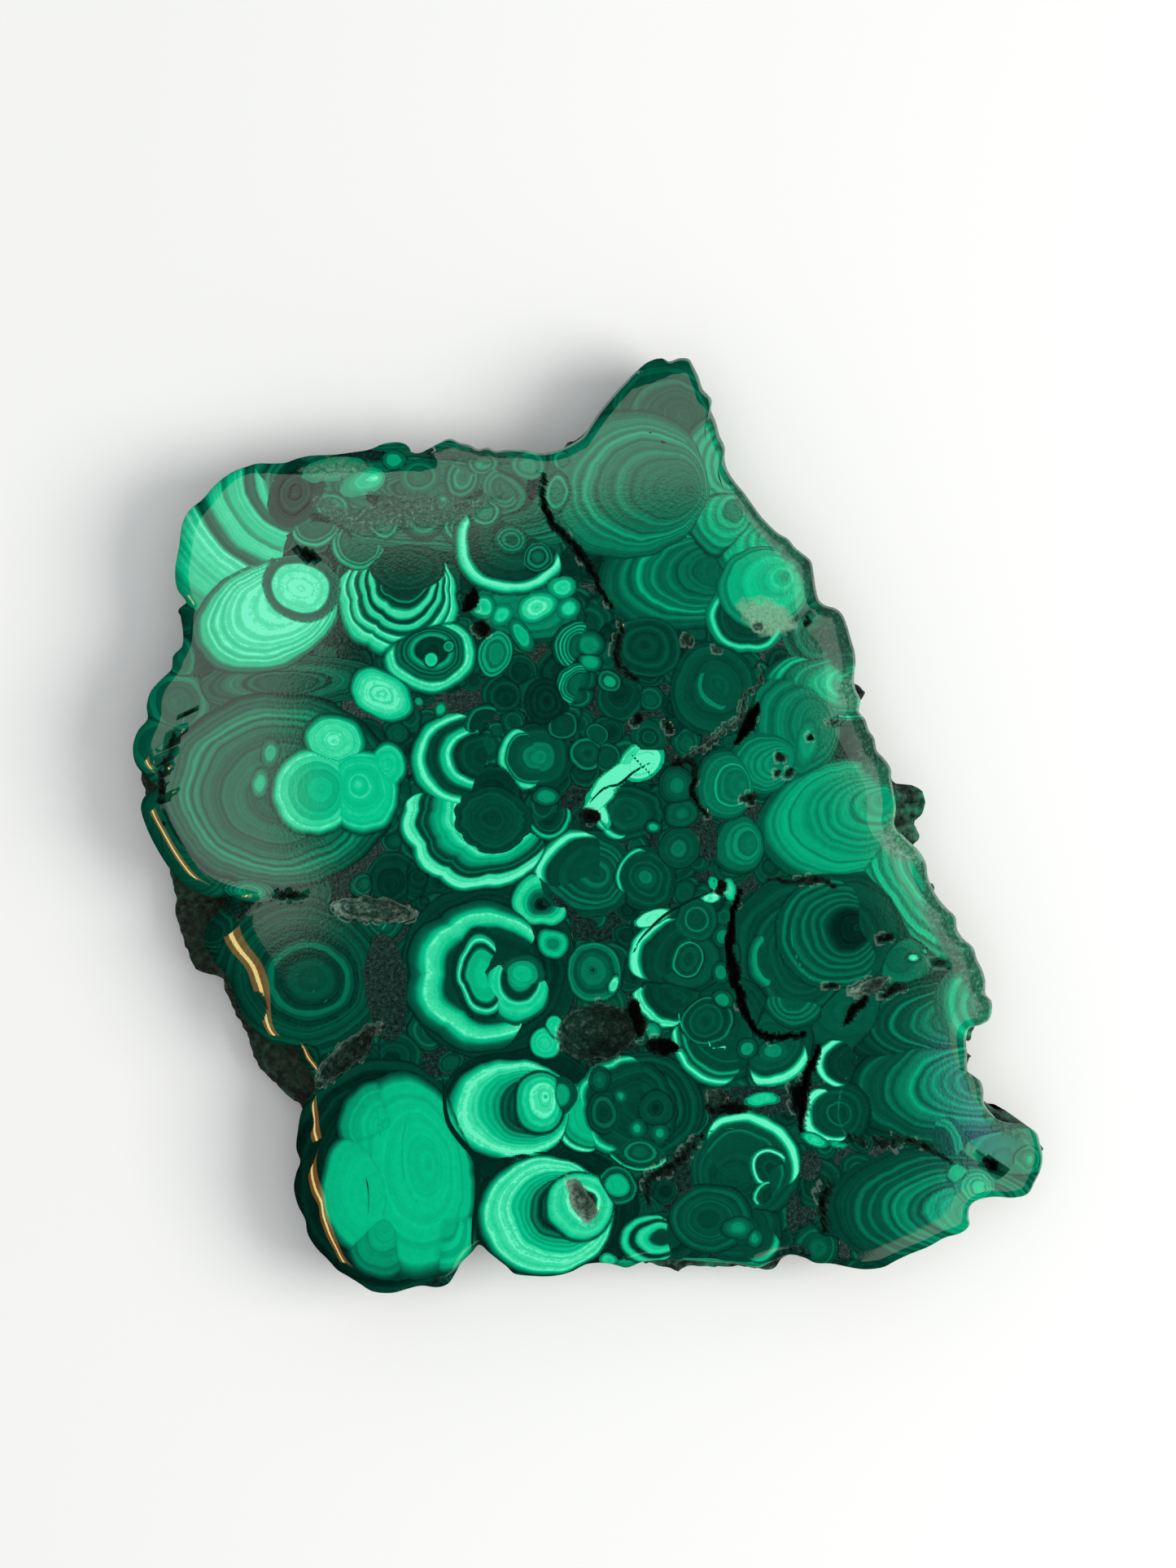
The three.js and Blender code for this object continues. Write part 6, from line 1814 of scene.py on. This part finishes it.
class MALACHITE_OT_slab(bpy.types.Operator):
    """Builds the slab in place of the plain CAD node."""

    bl_idname = "malachite.slab"
    bl_label = "Build slab"

    def execute(self, context):
        settings = context.scene.malachite_slab
        group = stone_group()
        materials = [kind(group) for kind in MATERIALS]
        cells = settings.cells
        piece, shift = make_slab("polished_slab", cells, materials)
        piece["slab_shift"] = list(shift)
        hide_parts(NODE)
        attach(piece, "root")
        return {"FINISHED"}


class MALACHITE_OT_stage(bpy.types.Operator):
    """Builds the paper, the cards, the room, the lights and the camera."""

    bl_idname = "malachite.stage"
    bl_label = "Build stage"

    def execute(self, context):
        scene = context.scene
        settings = scene.malachite_stage
        shift = bpy.data.objects["polished_slab"]["slab_shift"]
        eye = add_camera(shift, settings.camera_height).location
        velvet = plain_material("black velvet", "#050505", 1.0)
        blue = glowing_material("blue reflector", "#7f9aff", settings.blue_light)
        glow = glowing_material("pale ceiling", "#f6f8ee", settings.ceiling_light)
        flat_object("floor", square(FLOOR_REACH, -FLOOR_SINK), plain_material("pale paper", "#f4f5f4", 0.9))
        add_card("dark card", CLEAR_REGION, velvet, eye, shift)
        for region in BLUE_REGIONS:
            add_card("blue card", region, blue, eye, shift, lower=MM)
        add_lights(settings)
        add_room(velvet, glow)
        add_world(scene, settings.room_light)
        scene.view_settings.view_transform = "Standard"
        return {"FINISHED"}


class MALACHITE_PT_panel(bpy.types.Panel):
    """Lists the slab and the stage in the sidebar."""

    bl_label = "Malachite slab"
    bl_space_type = "VIEW_3D"
    bl_region_type = "UI"
    bl_category = "Malachite"

    def draw(self, context):
        scene = context.scene
        pairs = ((MALACHITE_OT_slab, scene.malachite_slab), (MALACHITE_OT_stage, scene.malachite_stage))
        for operator, settings in pairs:
            box = self.layout.box()
            for name in settings.bl_rna.properties.keys():
                if name not in ("rna_type", "name"):
                    box.prop(settings, name)
            box.operator(operator.bl_idname)


CLASSES = (SlabSettings, StageSettings, MALACHITE_OT_slab, MALACHITE_OT_stage, MALACHITE_PT_panel)


def register():
    """Makes the slab's settings, operators and panel known."""
    for cls in CLASSES:
        bpy.utils.register_class(cls)
    bpy.types.Scene.malachite_slab = bpy.props.PointerProperty(type=SlabSettings)
    bpy.types.Scene.malachite_stage = bpy.props.PointerProperty(type=StageSettings)


def unregister():
    """Takes the settings, operators and panel away again."""
    del bpy.types.Scene.malachite_stage
    del bpy.types.Scene.malachite_slab
    for cls in reversed(CLASSES):
        bpy.utils.unregister_class(cls)


def main():
    """Builds the slab and its stage."""
    register()
    bpy.ops.malachite.slab()
    bpy.ops.malachite.stage()


if __name__ == "__main__":
    main()
